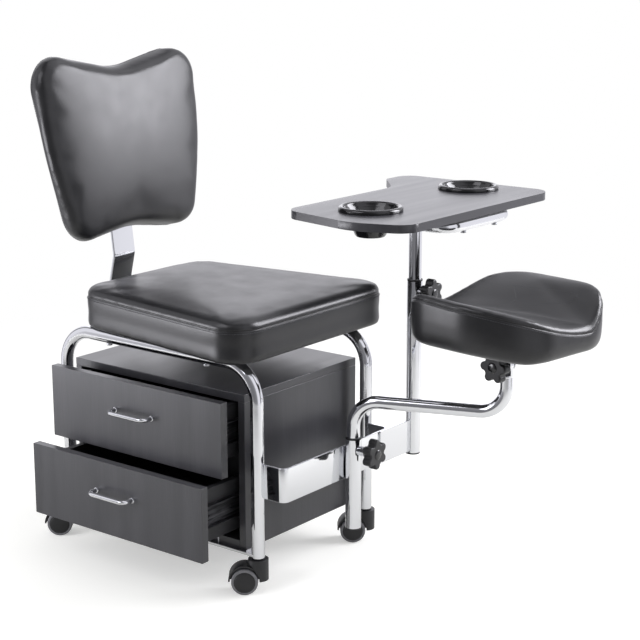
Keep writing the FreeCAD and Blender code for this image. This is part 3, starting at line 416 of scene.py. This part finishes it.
def outline(corners, rounds, inward, count):
    """A closed outline of straight runs with arcs of their own radius at its corners.

    It is drawn in by an even distance and given as count points spaced evenly along it."""
    at, rounds = np.asarray(corners, float), np.asarray(rounds, float)
    least_round, most_reach, arc_steps = 10, 0.48, 24

    def sides(points):
        back, ahead = np.roll(points, 1, 0) - points, np.roll(points, -1, 0) - points
        lengths = np.linalg.norm(back, axis=1), np.linalg.norm(ahead, axis=1)
        return back / lengths[0][:, None], ahead / lengths[1][:, None], np.minimum(*lengths)

    back, ahead, _ = sides(at)
    turn = np.sign(ahead[:, 0] * back[:, 1] - ahead[:, 1] * back[:, 0])
    half = np.arccos(np.clip((back * ahead).sum(1), -1, 1)) / 2
    spread = (back + ahead) / np.linalg.norm(back + ahead, axis=1, keepdims=True)
    at = at + spread * (turn * inward / np.sin(half))[:, None]
    back, ahead, run = sides(at)
    reach = np.minimum(np.maximum(rounds - turn * inward, least_round) / np.tan(half), most_reach * run)
    radius = reach * np.tan(half)
    centre = at + spread * (radius / np.sin(half))[:, None]
    start = at + back * reach[:, None] - centre
    first = np.arctan2(start[:, 1], start[:, 0])
    angle = first[:, None] + ((math.pi - 2 * half) * turn)[:, None] * np.linspace(0, 1, arc_steps)
    arcs = centre[:, None] + radius[:, None, None] * np.stack([np.cos(angle), np.sin(angle)], -1)
    loop = np.vstack([arcs.reshape(-1, 2), arcs[:1, 0]])
    along = np.concatenate([[0], np.cumsum(np.linalg.norm(np.diff(loop, axis=0), axis=1))])
    even = np.linspace(0, along[-1], count, endpoint=False)
    return np.stack([np.interp(even, along, loop[:, 0]), np.interp(even, along, loop[:, 1])], -1)


def points_of(mesh):
    """A mesh's points as an array, and the way its skin faces at each."""
    flat = np.zeros(len(mesh.vertices) * 3)
    mesh.vertices.foreach_get("co", flat)
    ways = np.zeros(len(mesh.vertices) * 3)
    mesh.vertices.foreach_get("normal", ways)
    return flat.reshape(-1, 3), ways.reshape(-1, 3)


def made_real(piece):
    """The piece's modifiers worked into its mesh."""
    seen = piece.evaluated_get(bpy.context.evaluated_depsgraph_get())
    mesh = bpy.data.meshes.new_from_object(seen)
    piece.modifiers.clear()
    piece.data = mesh
    return mesh


def nearest_on(path, points):
    """For each point, the number of the nearest point of a path and the distance to it."""
    found = []
    for part in np.array_split(points, max(1, len(points) // 2000)):
        away = np.linalg.norm(part[:, None] - path, axis=2)
        found.append(np.stack([away.argmin(1), away.min(1)]))
    number, away = np.concatenate(found, axis=1)
    return number.astype(int), away


def stuffed(piece, voxel, held, most):
    """A pad filled by pressure: a point that cloth would move by d goes most * tanh(d / (3 * most)).

    Its skin is remeshed to even squares, laid back on the drawn form and blown out. Held points stay."""
    drawn = piece.copy()
    bpy.context.scene.collection.objects.link(drawn)
    even = piece.modifiers.new("even_skin", "REMESH")
    even.mode = "VOXEL"
    even.voxel_size = voxel
    soft = piece.modifiers.new("soft_edges", "SMOOTH")
    soft.factor = 0.5
    soft.iterations = 4
    fitted = piece.modifiers.new("laid_back", "SHRINKWRAP")
    fitted.target = drawn
    mesh = made_real(piece)
    bpy.data.objects.remove(drawn)
    rest, _ = points_of(mesh)
    group = piece.vertex_groups.new(name="held")
    group.add(np.flatnonzero(held(rest)).tolist(), 1.0, "REPLACE")
    last_step = 20
    cloth = piece.modifiers.new("stuffing", "CLOTH")
    cloth.settings.use_pressure = True
    cloth.settings.uniform_pressure_force = 4.0
    cloth.settings.bending_stiffness = 8.0
    cloth.settings.effector_weights.gravity = 0
    cloth.settings.vertex_group_mass = "held"
    cloth.settings.quality = 4
    cloth.point_cache.frame_start = 1
    cloth.point_cache.frame_end = last_step
    for step in range(1, last_step + 1):
        bpy.context.scene.frame_set(step)
    seen = piece.evaluated_get(bpy.context.evaluated_depsgraph_get())
    blown, _ = points_of(seen.data)
    shift = blown - rest
    length = np.linalg.norm(shift, axis=1, keepdims=True)
    shift *= most * np.tanh(length / (3 * most)) / np.maximum(length, 1e-9)
    piece.modifiers.remove(cloth)
    piece.vertex_groups.clear()
    mesh.vertices.foreach_set("co", (rest + shift).ravel())
    bpy.context.scene.frame_set(1)
    soft = piece.modifiers.new("soft_skin", "SMOOTH")
    soft.factor = 0.5
    soft.iterations = 4
    finer = piece.modifiers.new("finer", "SUBSURF")
    finer.levels = finer.render_levels = 1
    made_real(piece).shade_smooth()


def laid_on(piece, points, lift=0.0):
    """Points moved to the nearest place on a piece's skin, and the way the skin faces there."""
    tree = BVHTree.FromObject(piece, bpy.context.evaluated_depsgraph_get())
    found = [tree.find_nearest(Vector(point))[:2] for point in points]
    at, way = (np.array([list(pair[i]) for pair in found]) for i in (0, 1))
    return at + way * lift, way


def sewn(piece, path, up):
    """A seam laid on a pad: its line on the skin, a shallow press, and each point's height over the line.

    The press is depth * exp(-(h / width)^2), and the height h is kept as the pad's seam attribute.
    Points further off than far keep only their side."""
    depth, width, far = 0.001, 0.003, 0.01
    path, _ = laid_on(piece, path)
    points, ways = points_of(piece.data)
    number, away = nearest_on(path, points)
    height = (points - path[number]) @ np.asarray(up, float)
    height = np.where(away < far, height, np.where(height < 0, -far, far))
    press = depth * np.exp(-(height / width) ** 2)
    piece.data.vertices.foreach_set("co", (points - ways * press[:, None]).ravel())
    mark = piece.data.attributes.new("seam", "FLOAT", "POINT")
    mark.data.foreach_set("value", height)
    piece.data.update()
    return path


def stitches(name, piece, path):
    """Thread along a closed path on a pad: short rods that taper at both ends, one for each pitch."""
    pitch, length, girth = 0.0046, 0.0034, 0.0011
    loop = np.vstack([path, path[:1]])
    along = np.concatenate([[0], np.cumsum(np.linalg.norm(np.diff(loop, axis=0), axis=1))])
    count = int(along[-1] / pitch)
    even = np.arange(count) * along[-1] / count
    centre = np.stack([np.interp(even, along, loop[:, i]) for i in range(3)], -1)
    centre, up = laid_on(piece, centre, girth * 0.3)
    head = np.roll(centre, -1, 0) - np.roll(centre, 1, 0)
    head /= np.linalg.norm(head, axis=1, keepdims=True)
    side = np.cross(up, head)
    span = np.array([-0.5, -0.42, 0.42, 0.5]) * length
    swell = np.array([0.35, 1.0, 1.0, 0.35]) * girth / 2
    ring = round_section(2, 6)
    rods = (centre[:, None, None] + head[:, None, None] * span[:, None, None]
            + side[:, None, None] * (swell[:, None] * ring[:, 0])[..., None]
            + up[:, None, None] * (swell[:, None] * ring[:, 1])[..., None])
    first = np.arange(count)[:, None, None] * len(span) * len(ring)
    faces = (first + quads_over(len(span), len(ring))).reshape(-1, 4)
    mesh = bpy.data.meshes.new(name)
    mesh.from_pydata(rods.reshape(-1, 3).tolist(), [], faces.tolist())
    mesh.shade_smooth()
    rows = bpy.data.objects.new(name, mesh)
    bpy.context.scene.collection.objects.link(rows)
    return rows


seat_z, seat_seam, seat_crown = 440.8, 62.0, 2.5
seat_front, seat_rear, front_half, rear_half = 258.0, -203.0, 236.0, 174.0
seat_corners = [(seat_front, -front_half), (seat_front, front_half),
                (seat_rear, rear_half), (seat_rear, -rear_half)]
seat_rounds = [56, 56, 64, 64]
# Each step up the band is how far the outline is drawn in, and the height there.
band = [(36, 2.0), (30, -0.8), (6, -0.8), (2, 0.4), (0.0, 4), (-0.5, 10), (0.8, 30), (-0.5, 48), (-0.5, 57),
        (-0.3, seat_seam), (0.6, 67.5), (2.6, 72.5), (6.2, 76.2), (11.5, 78.6), (19, 79.8)]


def over_seat(plan, height):
    """Places over the seat's plan: height plus a crown of (1 - u^6)(1 - v^6), u along and v across it."""
    u = (plan[:, 0] - (seat_front + seat_rear) / 2) / ((seat_front - seat_rear) / 2)
    v = plan[:, 1] / np.interp(plan[:, 0], [seat_rear, seat_front], [rear_half, front_half])
    crown = np.clip(1 - u ** 6, 0, 1) * np.clip(1 - v ** 6, 0, 1)
    return np.column_stack([plan, seat_z + height + seat_crown * crown * (height > seat_seam)])


rows = [over_seat(outline(seat_corners, seat_rounds, draw, 240), z) for draw, z in band]
middle = np.array([25.0, 0.0])
last, top = rows[-1][:, :2], band[-1][1]
rows += [over_seat(middle + (last - middle) * share, top) for share in np.linspace(0.93, 0.03, 14)]
seat_pad = skin("seat_pad", np.array(rows))
seam_points = 700
seam = outline(seat_corners, seat_rounds, 1, seam_points)
seam = framed(np.column_stack([seam, np.full(seam_points, seat_z + seat_seam)]))
under_z, seam_hold = (seat_z + 5) / 1000, 0.0045
stuffed(seat_pad, voxel=0.006, most=0.002,
        held=lambda points: (points[:, 2] < under_z) | (nearest_on(seam, points)[1] < seam_hold))
seam = sewn(seat_pad, seam, (0, 0, 1))
dress(seat_pad, leatherette, "chair", "black_upholstery", "seat_cushion")
below_seam = seam - [0, 0, 0.0055]
dress(stitches("seat_stitches", seat_pad, below_seam), thread, "chair", "black_upholstery")

# Back bar: a flat chromed steel bar, 58 by 6 mm, bolted under the seat, bent up behind it and bent again
# to lie along the backrest's board.
recline = math.radians(7.0)
back_zero = np.array([-246.0, 0.0, 588.0])


def back_place(across, up, out):
    """A place of the leaning backrest: across it, up along it, and out from its rear face."""
    x = -up * math.sin(recline) + out * math.cos(recline)
    z = up * math.cos(recline) + out * math.sin(recline)
    return back_zero + np.stack(np.broadcast_arrays(x, across, z), -1)


def bar_section(width, thickness, edge):
    """A flat bar's section with rounded edges: quarter circles of 5 points at its four corners."""
    a = np.linspace(0, math.pi / 2, 5)
    quarter = np.stack([np.cos(a), np.sin(a)], -1) * edge
    u, v = thickness / 2 - edge, width / 2 - edge
    turns = [quarter, np.stack([-quarter[:, 1], quarter[:, 0]], -1), -quarter,
             np.stack([quarter[:, 1], -quarter[:, 0]], -1)]
    return np.vstack([part + at for part, at in zip(turns, [(u, v), (-u, v), (-u, -v), (u, -v)])])


bar_width, bar_thick, bar_edge, bar_bend = 58.0, 6.0, 1.2, 28.0
bar_start, bar_slant, bar_rise, kink_drop = -40.0, 27.0, 230.0, 37.0
half_bar = bar_thick / 2
bar_low = seat_z - half_bar
kink_up = (half_bar * math.sin(recline) - kink_drop) / math.cos(recline)
kink = back_place(0.0, kink_up, -half_bar)
path = bent_line([(bar_start, 0, bar_low), (kink[0] - bar_slant, 0, bar_low), kink,
                  back_place(0.0, kink_up + bar_rise, -half_bar)], bar_bend, 18)
bar = skin("chrome_back_bar", carried(bar_section(bar_width, bar_thick, bar_edge), *path, (0, 1, 0)))
dress(bar, chrome, "chair", "chrome", "back_bar")

# Backrest: a shaped plywood board under a foam pad with two ears, covered in the same leatherette.
# The front panel is drawn round the edge to a seam close to the rear, where a plain back panel is sewn in.
ear, hip, foot_half, waist_in, back_crown = 217.0, 219.0, 167.0, 42.0, 13.0
crown_across, crown_up, crown_middle = 212, 198, 186
hollow_depth, hollow_width, swell_from, swell_full = 3.0, 90, 30, 50
# Each step round the edge is how far the outline is drawn in, and how far out from the rear it lies there.
# The waists are the share of the side's drawing in at each step.
waists = [1.0, 1.0, 0.98, 0.9, 0.75, 0.5, 0.3, 0.14, 0.04, 0.0, 0.0, 0.0]
edge = [(30, -0.8), (6, -0.8), (2, 0.4), (-0.5, 4), (-1.5, 10), (-1.5, 19), (-1.0, 26), (0.3, 33.5),
        (2.6, 40.5), (6.6, 46.2), (12.5, 50.3), (20, 52.8)]


def back_outline(inward, waist, count):
    """The butterfly outline: two ears with a dip between, sides that draw in, a notched foot.

    Each corner is its place across, its place up, and its radius."""
    half = [(ear, 381, 58), (hip - waist, 185, 640), (foot_half - waist / 3, -1, 54)]
    corners = [(0, 334, 174)] + [(-y, z, r) for y, z, r in half] + [(0, 24, 216)]
    corners += [(y, z, r) for y, z, r in reversed(half)]
    return outline([c[:2] for c in corners], [c[2] for c in corners], inward, count)


def over_back(plan, out):
    """Places over the backrest: out plus a crown of (1 - u^2)(1 - v^2), less a shallow hollow.

    The crown comes in over the rounded edge, where out goes from swell_from to swell_full."""
    u, v = plan[:, 0] / crown_across, (plan[:, 1] - crown_middle) / crown_up
    crown = np.clip(1 - u ** 2, 0, 1) * np.clip(1 - v ** 2, 0, 1)
    hollow = hollow_depth * np.exp(-(plan[:, 0] / hollow_width) ** 2) * crown
    swell = (back_crown * crown - hollow) * np.interp(out, [swell_from, swell_full], [0, 1])
    return back_place(plan[:, 0], plan[:, 1], out + swell)


loops = [back_outline(draw, waist_in * waist, 240) for (draw, _), waist in zip(edge, waists)]
rows = [over_back(loop, out) for loop, (_, out) in zip(loops, edge)]
middle = np.array([0, 190])
last, top = loops[-1], edge[-1][1]
rows += [over_back(middle + (last - middle) * share, top) for share in np.linspace(0.94, 0.03, 16)]
back_pad = skin("backrest_pad", np.array(rows))
loop = back_outline(1, waist_in * 0.9, seam_points)
seam = framed(back_place(loop[:, 0], loop[:, 1], 11.0))
rear = framed(back_place(0.0, 0.0, 5.0))
facing = np.array([math.cos(recline), 0, math.sin(recline)])
stuffed(back_pad, voxel=0.006, most=0.0025,
        held=lambda points: ((points - rear) @ facing < 0) | (nearest_on(seam, points)[1] < seam_hold))
seam = sewn(back_pad, seam, facing)
dress(back_pad, leatherette, "chair", "black_upholstery", "backrest_cushion")
before_seam = seam + facing * 0.0055
dress(stitches("backrest_stitches", back_pad, before_seam), thread, "chair", "black_upholstery")

# Bolts and screws: zinc-plated steel, dull silver with cloudy patches about 3 mm wide.
# They hold the seat, bar and cabinet to the frame, the tray to its loop and the footrest to its yoke.
zinc, tree, shader, place = finish_of("zinc_plated_steel", {"Metallic": 1.0})
plate = add(tree, "ShaderNodeTexNoise", {"Scale": 1 / 0.003, "Detail": 3.0},
            {"Vector": (place, "Object")})
add(tree, "ShaderNodeValToRGB", {"stops": [(0.3, linear("#a4a5a8")), (0.7, linear("#c2c3c6"))]},
    {"Fac": (plate, "Fac")}, (shader, "Base Color"))
add(tree, "ShaderNodeValToRGB", {"stops": [(0.3, 0.26), (0.7, 0.4)]},
    {"Fac": (plate, "Fac")}, (shader, "Roughness"))
coat(zinc, "frame_bolts", "tray_screws", "footrest_screws")
ease(0.0006, "frame_bolts", "tray_screws", "footrest_screws")

# Tool bracket: a hat-shaped flat bar, 65 by 4 mm, welded to the two front legs and chromed.
# A flat plate lapped on its front reaches out to the tray's column.
bracket_z, bracket_x, bracket_half = 214.5, 303.0, 160.0
bracket_width, bracket_thick, bracket_edge, bracket_bend = 65.0, 4.0, 0.9, 12.0
bracket_end = leg_x + 11.2
path = bent_line([(bracket_end, -bracket_half, bracket_z), (bracket_x, -bracket_half, bracket_z),
                  (bracket_x, bracket_half, bracket_z), (bracket_end, bracket_half, bracket_z)],
                 bracket_bend, 14)
section = bar_section(bracket_width, bracket_thick, bracket_edge)
bracket = skin("chrome_bracket", carried(section, *path, (0, 0, 1)))
dress(bracket, chrome, "chair", "chrome", "tool_bracket")
coat(chrome, "column_bracket")
ease(0.0009, "column_bracket")

# Sockets: two 30 mm chromed tubes, one welded to the bracket for the footrest's arm and one that is
# the column's lower tube. A threaded boss on the front of each takes the clamp knob.
coat(chrome, "arm_socket", "column_tube", "clamp_nuts")

# Footrest arm: a 25 mm chromed tube, bent twice from one length.
# It turns and slides in its socket, runs out, and rises again to the tilt joint under the pad.
arm_x, arm_y, arm_foot, arm_run, arm_bend = 320.0, 25.0, 101.0, 337.0, 50.0
end_x, end_y, pivot_z, tongue_room = 588.65, 125.98, 430.0, 24.0
out = np.array([end_x - arm_x, end_y - arm_y, 0])
flat = np.cross((0, 0, 1), out / np.linalg.norm(out))
path = bent_line([(arm_x, arm_y, arm_foot), (arm_x, arm_y, arm_run), (end_x, end_y, arm_run),
                  (end_x, end_y, pivot_z - tongue_room)], arm_bend, 24)
arm = skin("chrome_arm", carried(round_section(tube), *path, flat))
dress(arm, chrome, "footrest_arm", "chrome", "footrest_arm")

# Tilt joint: a forged tongue welded to the arm's end, between the two ears of a bent yoke, both chromed.
# The yoke is screwed under the footrest's board, and the knob's stud draws the ears together.
coat(chrome, "tilt_tongue", "tilt_yoke")
ease(0.0007, "tilt_tongue", "tilt_yoke")

# Star knobs: six-lobed grips moulded on a zinc-plated stud, with a domed cap snapped into the face.
# Two clamp the arm and the column in their sockets, and one the footrest's tilt.
# Glossy nylon: the caps and bowls are polished in the mould, deep black with a faint haze in the shine.
gloss_black, tree, shader, place = finish_of(
    "glossy_black_nylon", {"Base Color": linear("#18181a"), "Coat Weight": 0.3})
haze = add(tree, "ShaderNodeTexNoise", {"Scale": 1 / 0.015, "Detail": 4.0},
           {"Vector": (place, "Object")})
add(tree, "ShaderNodeValToRGB", {"stops": [(0.3, 0.14), (0.75, 0.24)]},
    {"Fac": (haze, "Fac")}, (shader, "Roughness"))
cap = [(10.0, -0.5), (10.0, 0.5), (9.4, 1.1), (7.0, 1.7), (4.0, 2.1), (0.3, 2.2)]
pad_yaw = math.radians(-8.0)
for name, ahead in (("arm_knob", (1, 0, 0)), ("column_knob", (1, 0, 0)),
                    ("tilt_knob", (math.sin(pad_yaw), -math.cos(pad_yaw), 0))):
    coat(black_plastic, name)
    points = in_chair(points_of(nodes[name].data)[0])
    reach = points @ np.array(ahead, float)
    face = points[reach > reach.max() - 0.05]
    dome = skin(f"{name}_cap", turned(cap, (face.min(0) + face.max(0)) / 2, ahead))
    dress(dome, gloss_black, name, "black_plastic")

# Footrest: a saddle of foam on a small plywood board, covered in the same leatherette.
# A slanting valley holds the leg, and a stitched seam follows the rim.
pad_length, pad_width, pad_low = 268.0, 316.0, 32.0
pad_rounds = [126, 92, 80, 76]
half_long, half_wide = pad_length / 2, pad_width / 2
pad_corners = [(half_long, -half_wide), (half_long, half_wide),
               (-half_long, half_wide), (-half_long, -half_wide)]
# Each step up the band is how far the outline is drawn in, the share of the way up, and a lift.
rest_band = [(26, 0, 0.0), (13, 0, 1.8), (6, 0, 7), (2, 0, 15), (0.3, 0, 25), (-0.5, 0.5, 0), (0, 1, -24),
             (0.3, 1, -14), (2.0, 1, -8), (5.5, 1, -3.5), (11, 1, -1), (20, 1, 0)]
rest_seam, rest_hold = -14, 0.004
valley_lean, valley_rise, valley_fall, valley_soft = 0.42, 52, 11, 0.4
near_ridge, near_fall, far_ridge = 110, 8, 107
base_proud, near_lift, far_sag = 0.8, 17, 1
lift_range, sag_range = [0.45, 1.0], [0.2, 0.7]


def over_rest(plan, share, lift):
    """Places between the footrest's belly and its saddle: share of the way up, plus a lift.

    The saddle rises from a slanting valley to the near ridge as sqrt(t^2 + e^2) and to the far one as
    sin(t)^1.6. The belly turns up on the near side and sags on the far one as up^2 (3 - 2 up).
    The pad's own axes, zero at the tilt pivot, are turned to the chair's."""
    x, y = plan[:, 0], plan[:, 1]
    slant = x / half_long
    lean = half_wide * valley_lean * slant
    valley = pad_low + valley_rise + valley_fall * (1 - slant)
    t = np.abs(y - lean) / (half_wide - np.sign(y - lean) * lean)
    near = np.sqrt(t ** 2 + valley_soft ** 2) - valley_soft
    near = near / (math.sqrt(1 + valley_soft ** 2) - valley_soft)
    rise = np.where(y < lean, near, np.sin(np.clip(t, 0, 1) * math.pi / 2) ** 1.6)
    ridge = pad_low + np.where(y < lean, near_ridge - near_fall * np.minimum(slant, 0), far_ridge)
    top = valley + (ridge - valley) * rise
    up = np.interp(-y / half_wide, lift_range, [0, 1])
    down = np.interp(y / half_wide, sag_range, [0, 1])
    belly = pad_low - base_proud + near_lift * up ** 2 * (3 - 2 * up) - far_sag * down ** 2 * (3 - 2 * down)
    z = pivot_z + belly + (top - belly) * share + lift
    c, s = math.cos(pad_yaw), math.sin(pad_yaw)
    return np.stack([end_x + c * x - s * y, end_y + s * x + c * y, z], -1)


plans = [outline(pad_corners, pad_rounds, draw, 240) for draw, _, _ in rest_band]
rows = [over_rest(plans[0] * share, 0, 0) for share in np.linspace(0.05, 0.92, 8)]
rows += [over_rest(plan, share, lift) for plan, (_, share, lift) in zip(plans, rest_band)]
rows += [over_rest(plans[-1] * share, 1, 0) for share in np.linspace(0.93, 0.03, 14)]
rest_pad = skin("footrest_pad", np.array(rows))
seam = framed(over_rest(outline(pad_corners, pad_rounds, 1.0, seam_points), 1, rest_seam))
under_z = (pivot_z + pad_low + 4) / 1000
stuffed(rest_pad, voxel=0.005, most=0.003,
        held=lambda points: (points[:, 2] < under_z) | (nearest_on(seam, points)[1] < rest_hold))
seam = sewn(rest_pad, seam, (0, 0, 1))
dress(rest_pad, leatherette, "footrest", "black_upholstery", "footrest_cushion")
below_seam = seam - [0, 0, 0.005]
dress(stitches("footrest_stitches", rest_pad, below_seam), thread, "footrest", "black_upholstery")

# Tray column and loop: the inner tube of the column slides in the lower one, and a U of the same tube
# is welded across its top. The tray is screwed to the U from below.
column_x, column_y, loop_z = 307.0, 240.0, 638.0
coat(chrome, "tray_column")
loop_rear, loop_front, loop_far, loop_bend = column_x - 102.0, column_x + 73.0, column_y + 225.0, 40.0
path = bent_line([(loop_rear, column_y, loop_z), (loop_front, column_y, loop_z),
                  (loop_front, loop_far, loop_z), (loop_rear, loop_far, loop_z)], loop_bend, 20)
loop = skin("chrome_tray_loop", carried(round_section(tube), *path, (0, 0, 1)))
dress(loop, chrome, "tray", "chrome", "tray_loop")

# Tray: a 16 mm chipboard with the same foil, its grain lying along the length and its edge banded.
# It is cut with a shallow waist and two round holes for the bowls, and screwed to the loop from below.
coat(lying_foil, "tray_board")
ease(0.0012, "tray_board")

# Bowls: two bowls moulded in glossy black nylon with fat rolled rims, dropped into the tray's holes.
# The rim rests on the tray, and the bowl lifts out for washing.
# The profile is pairs of a radius and a height below the rim's top, from under the bowl to its floor.
rim_middle, rim_round = 57.5, 5.5
sweep = np.linspace(0, math.pi, 13)
lip = np.stack([rim_middle + rim_round * np.cos(sweep), rim_round * np.sin(sweep) - rim_round], -1)
outer = [(0.5, -60.0), (24.0, -60.0), (28.0, -59.0), (30.6, -56.0), (49.7, -9.2), (62.0, -8.9),
         (63.0, -8.0)]
inner = [(49.0, -10.0), (47.5, -12.5), (27.6, -55.5), (25.0, -57.2), (0.5, -57.5)]
for name in ("near_cup", "far_cup"):
    low, high = (in_chair(corner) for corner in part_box(name))
    centre = np.array([(low[0] + high[0]) / 2, (low[1] + high[1]) / 2, high[2]])
    bowl = skin(name.replace("cup", "bowl"), turned(np.vstack([outer, lip, inner]), centre, (0, 0, 1), 72))
    dress(bowl, gloss_black, name, "black_plastic", name)

# Studio: a pale paper floor that keeps the shadow and fades into a white surround, and large soft lamps.
# Camera rays see some brightness of the paper's own added to its light, so it reads as white paper.
scene = bpy.context.scene
scene.view_settings.view_transform = "Standard"
floor_mesh = bpy.data.meshes.new("studio_floor")
span = 6.0
floor_corners = [(-span, -span, 0), (span, -span, 0), (span, span, 0), (-span, span, 0)]
floor_mesh.from_pydata(floor_corners, [], [(0, 1, 2, 3)])
floor = bpy.data.objects.new("studio_floor", floor_mesh)
scene.collection.objects.link(floor)
paper = bpy.data.materials.new("white_paper")
paper.use_nodes = True
tree = paper.node_tree
tree.nodes.clear()
place = add(tree, "ShaderNodeTexCoord")
far = add(tree, "ShaderNodeVectorMath", {"operation": "LENGTH"}, {0: (place, "Object")})
fade = add(tree, "ShaderNodeMapRange",
           {"From Min": 0.9, "From Max": 2.2, "interpolation_type": "SMOOTHSTEP"},
           {"Value": (far, "Value")})
rays = add(tree, "ShaderNodeLightPath")
matt = add(tree, "ShaderNodeBsdfDiffuse", {"Color": (0.81, 0.81, 0.77, 1)})
glow = add(tree, "ShaderNodeEmission", {"Strength": 0.42})
lit = add(tree, "ShaderNodeAddShader", {}, {0: (matt, "BSDF"), 1: (glow, "Emission")})
sheet = add(tree, "ShaderNodeMixShader", {},
            {0: (rays, "Is Camera Ray"), 1: (matt, "BSDF"), 2: (lit, "Shader")})
clear = add(tree, "ShaderNodeBsdfTransparent")
faded = add(tree, "ShaderNodeMixShader", {},
            {0: (fade, "Result"), 1: (sheet, "Shader"), 2: (clear, "BSDF")})
add(tree, "ShaderNodeOutputMaterial", {}, {"Surface": (faded, "Shader")})
floor_mesh.materials.append(paper)

# The surround is white to the camera and even to dull skins. Mirrors see light and dark walls in turn,
# under a dark roof.
cool = (0.95, 0.945, 1.0)
surround = bpy.data.worlds.new("studio_surround")
scene.world = surround
surround.use_nodes = True
tree = surround.node_tree
tree.nodes.clear()
rays = add(tree, "ShaderNodeLightPath")
place = add(tree, "ShaderNodeTexCoord")
towards = add(tree, "ShaderNodeVectorMath", {"operation": "DOT_PRODUCT", 1: (0.1367, -0.9906, 0.0)},
              {0: (place, "Generated")})
round_about = add(tree, "ShaderNodeMapRange", {"From Min": -1.0, "From Max": 1.0},
                  {"Value": (towards, "Value")})
bright = [(0.0, 0.9), (0.1, 1.0), (0.3, 0.95), (0.34, 0.1), (0.42, 0.08), (0.46, 0.92), (0.74, 0.95),
          (0.86, 0.3), (1.0, 0.2)]
stops = [(at, (cool[0] * value, cool[1] * value, cool[2] * value, 1.0)) for at, value in bright]
walls = add(tree, "ShaderNodeValToRGB", {"stops": stops}, {"Fac": (round_about, "Result")})
height = add(tree, "ShaderNodeSeparateXYZ", {}, {"Vector": (place, "Generated")})
roof = add(tree, "ShaderNodeValToRGB", {"stops": [(0.76, 1.0), (0.83, 0.1), (1.0, 0.1)]},
           {"Fac": (height, "Z")})
soft = add(tree, "ShaderNodeBackground", {"Color": (1, 1, 1, 1), "Strength": 0.38})
mirror = add(tree, "ShaderNodeBackground", {}, {"Color": (walls, "Color"), "Strength": (roof, "Color")})
white = add(tree, "ShaderNodeBackground", {"Color": (1, 1, 1, 1), "Strength": 1.0})
glossy = add(tree, "ShaderNodeMixShader", {},
             {0: (rays, "Is Glossy Ray"), 1: (soft, "Background"), 2: (mirror, "Background")})
seen = add(tree, "ShaderNodeMixShader", {},
           {0: (rays, "Is Camera Ray"), 1: (glossy, "Shader"), 2: (white, "Background")})
add(tree, "ShaderNodeOutputWorld", {}, {"Surface": (seen, "Shader")})

# The side and left lamps are kept off the chrome, as black flags beside a softbox do.
# So its edges stay clear of glare.
shaded = bpy.data.collections.new("flagged_chrome")
for piece in scene.objects:
    if any(held.material == chrome for held in piece.material_slots):
        shaded.objects.link(piece)
for held in shaded.collection_objects:
    held.light_linking.link_state = "EXCLUDE"
aim = Vector((-0.1, 0, 0.5))
lamps = [("key", (-0.8, -2.6, 2.5), 2.0, 2.0, 32.0),
         ("top", (0.2, 0.5, 3.2), 2.4, 2.4, 22.0),
         ("side", (1.9, 2.3, 1.85), 1.6, 2.1, 125.0),
         ("rear", (-2.2, 2.5, 1.35), 2.2, 1.0, 6.0),
         ("left", (-1.4, -1.5, 0.36), 0.9, 0.6, 14.0)]
for name, spot, wide, high, power in lamps:
    lamp = bpy.data.lights.new(f"{name}_softbox", "AREA")
    lamp.shape = "RECTANGLE"
    lamp.size, lamp.size_y = wide, high
    lamp.energy = power
    lamp.color = cool
    stand = bpy.data.objects.new(f"{name}_softbox", lamp)
    stand.location = spot
    stand.rotation_euler = (aim - Vector(spot)).to_track_quat("-Z", "Y").to_euler()
    stand.visible_camera = False
    scene.collection.objects.link(stand)
    if name in ("side", "left"):
        stand.light_linking.receiver_collection = shaded

# Camera: the photograph's view, from the sitter's right front and a little above the tray.
# The lens is long, so the uprights stay nearly parallel.
lens = bpy.data.cameras.new("camera")
lens.lens = 89.43
lens.sensor_width = 36.0
camera = bpy.data.objects.new("camera", lens)
camera.location = Vector((chair_zero + [2.01754, -2.26123, 1.17594]).tolist())
down, about = 13.536, 37.861
camera.rotation_euler = (math.radians(90 - down), 0, math.radians(about))
scene.collection.objects.link(camera)
scene.camera = camera
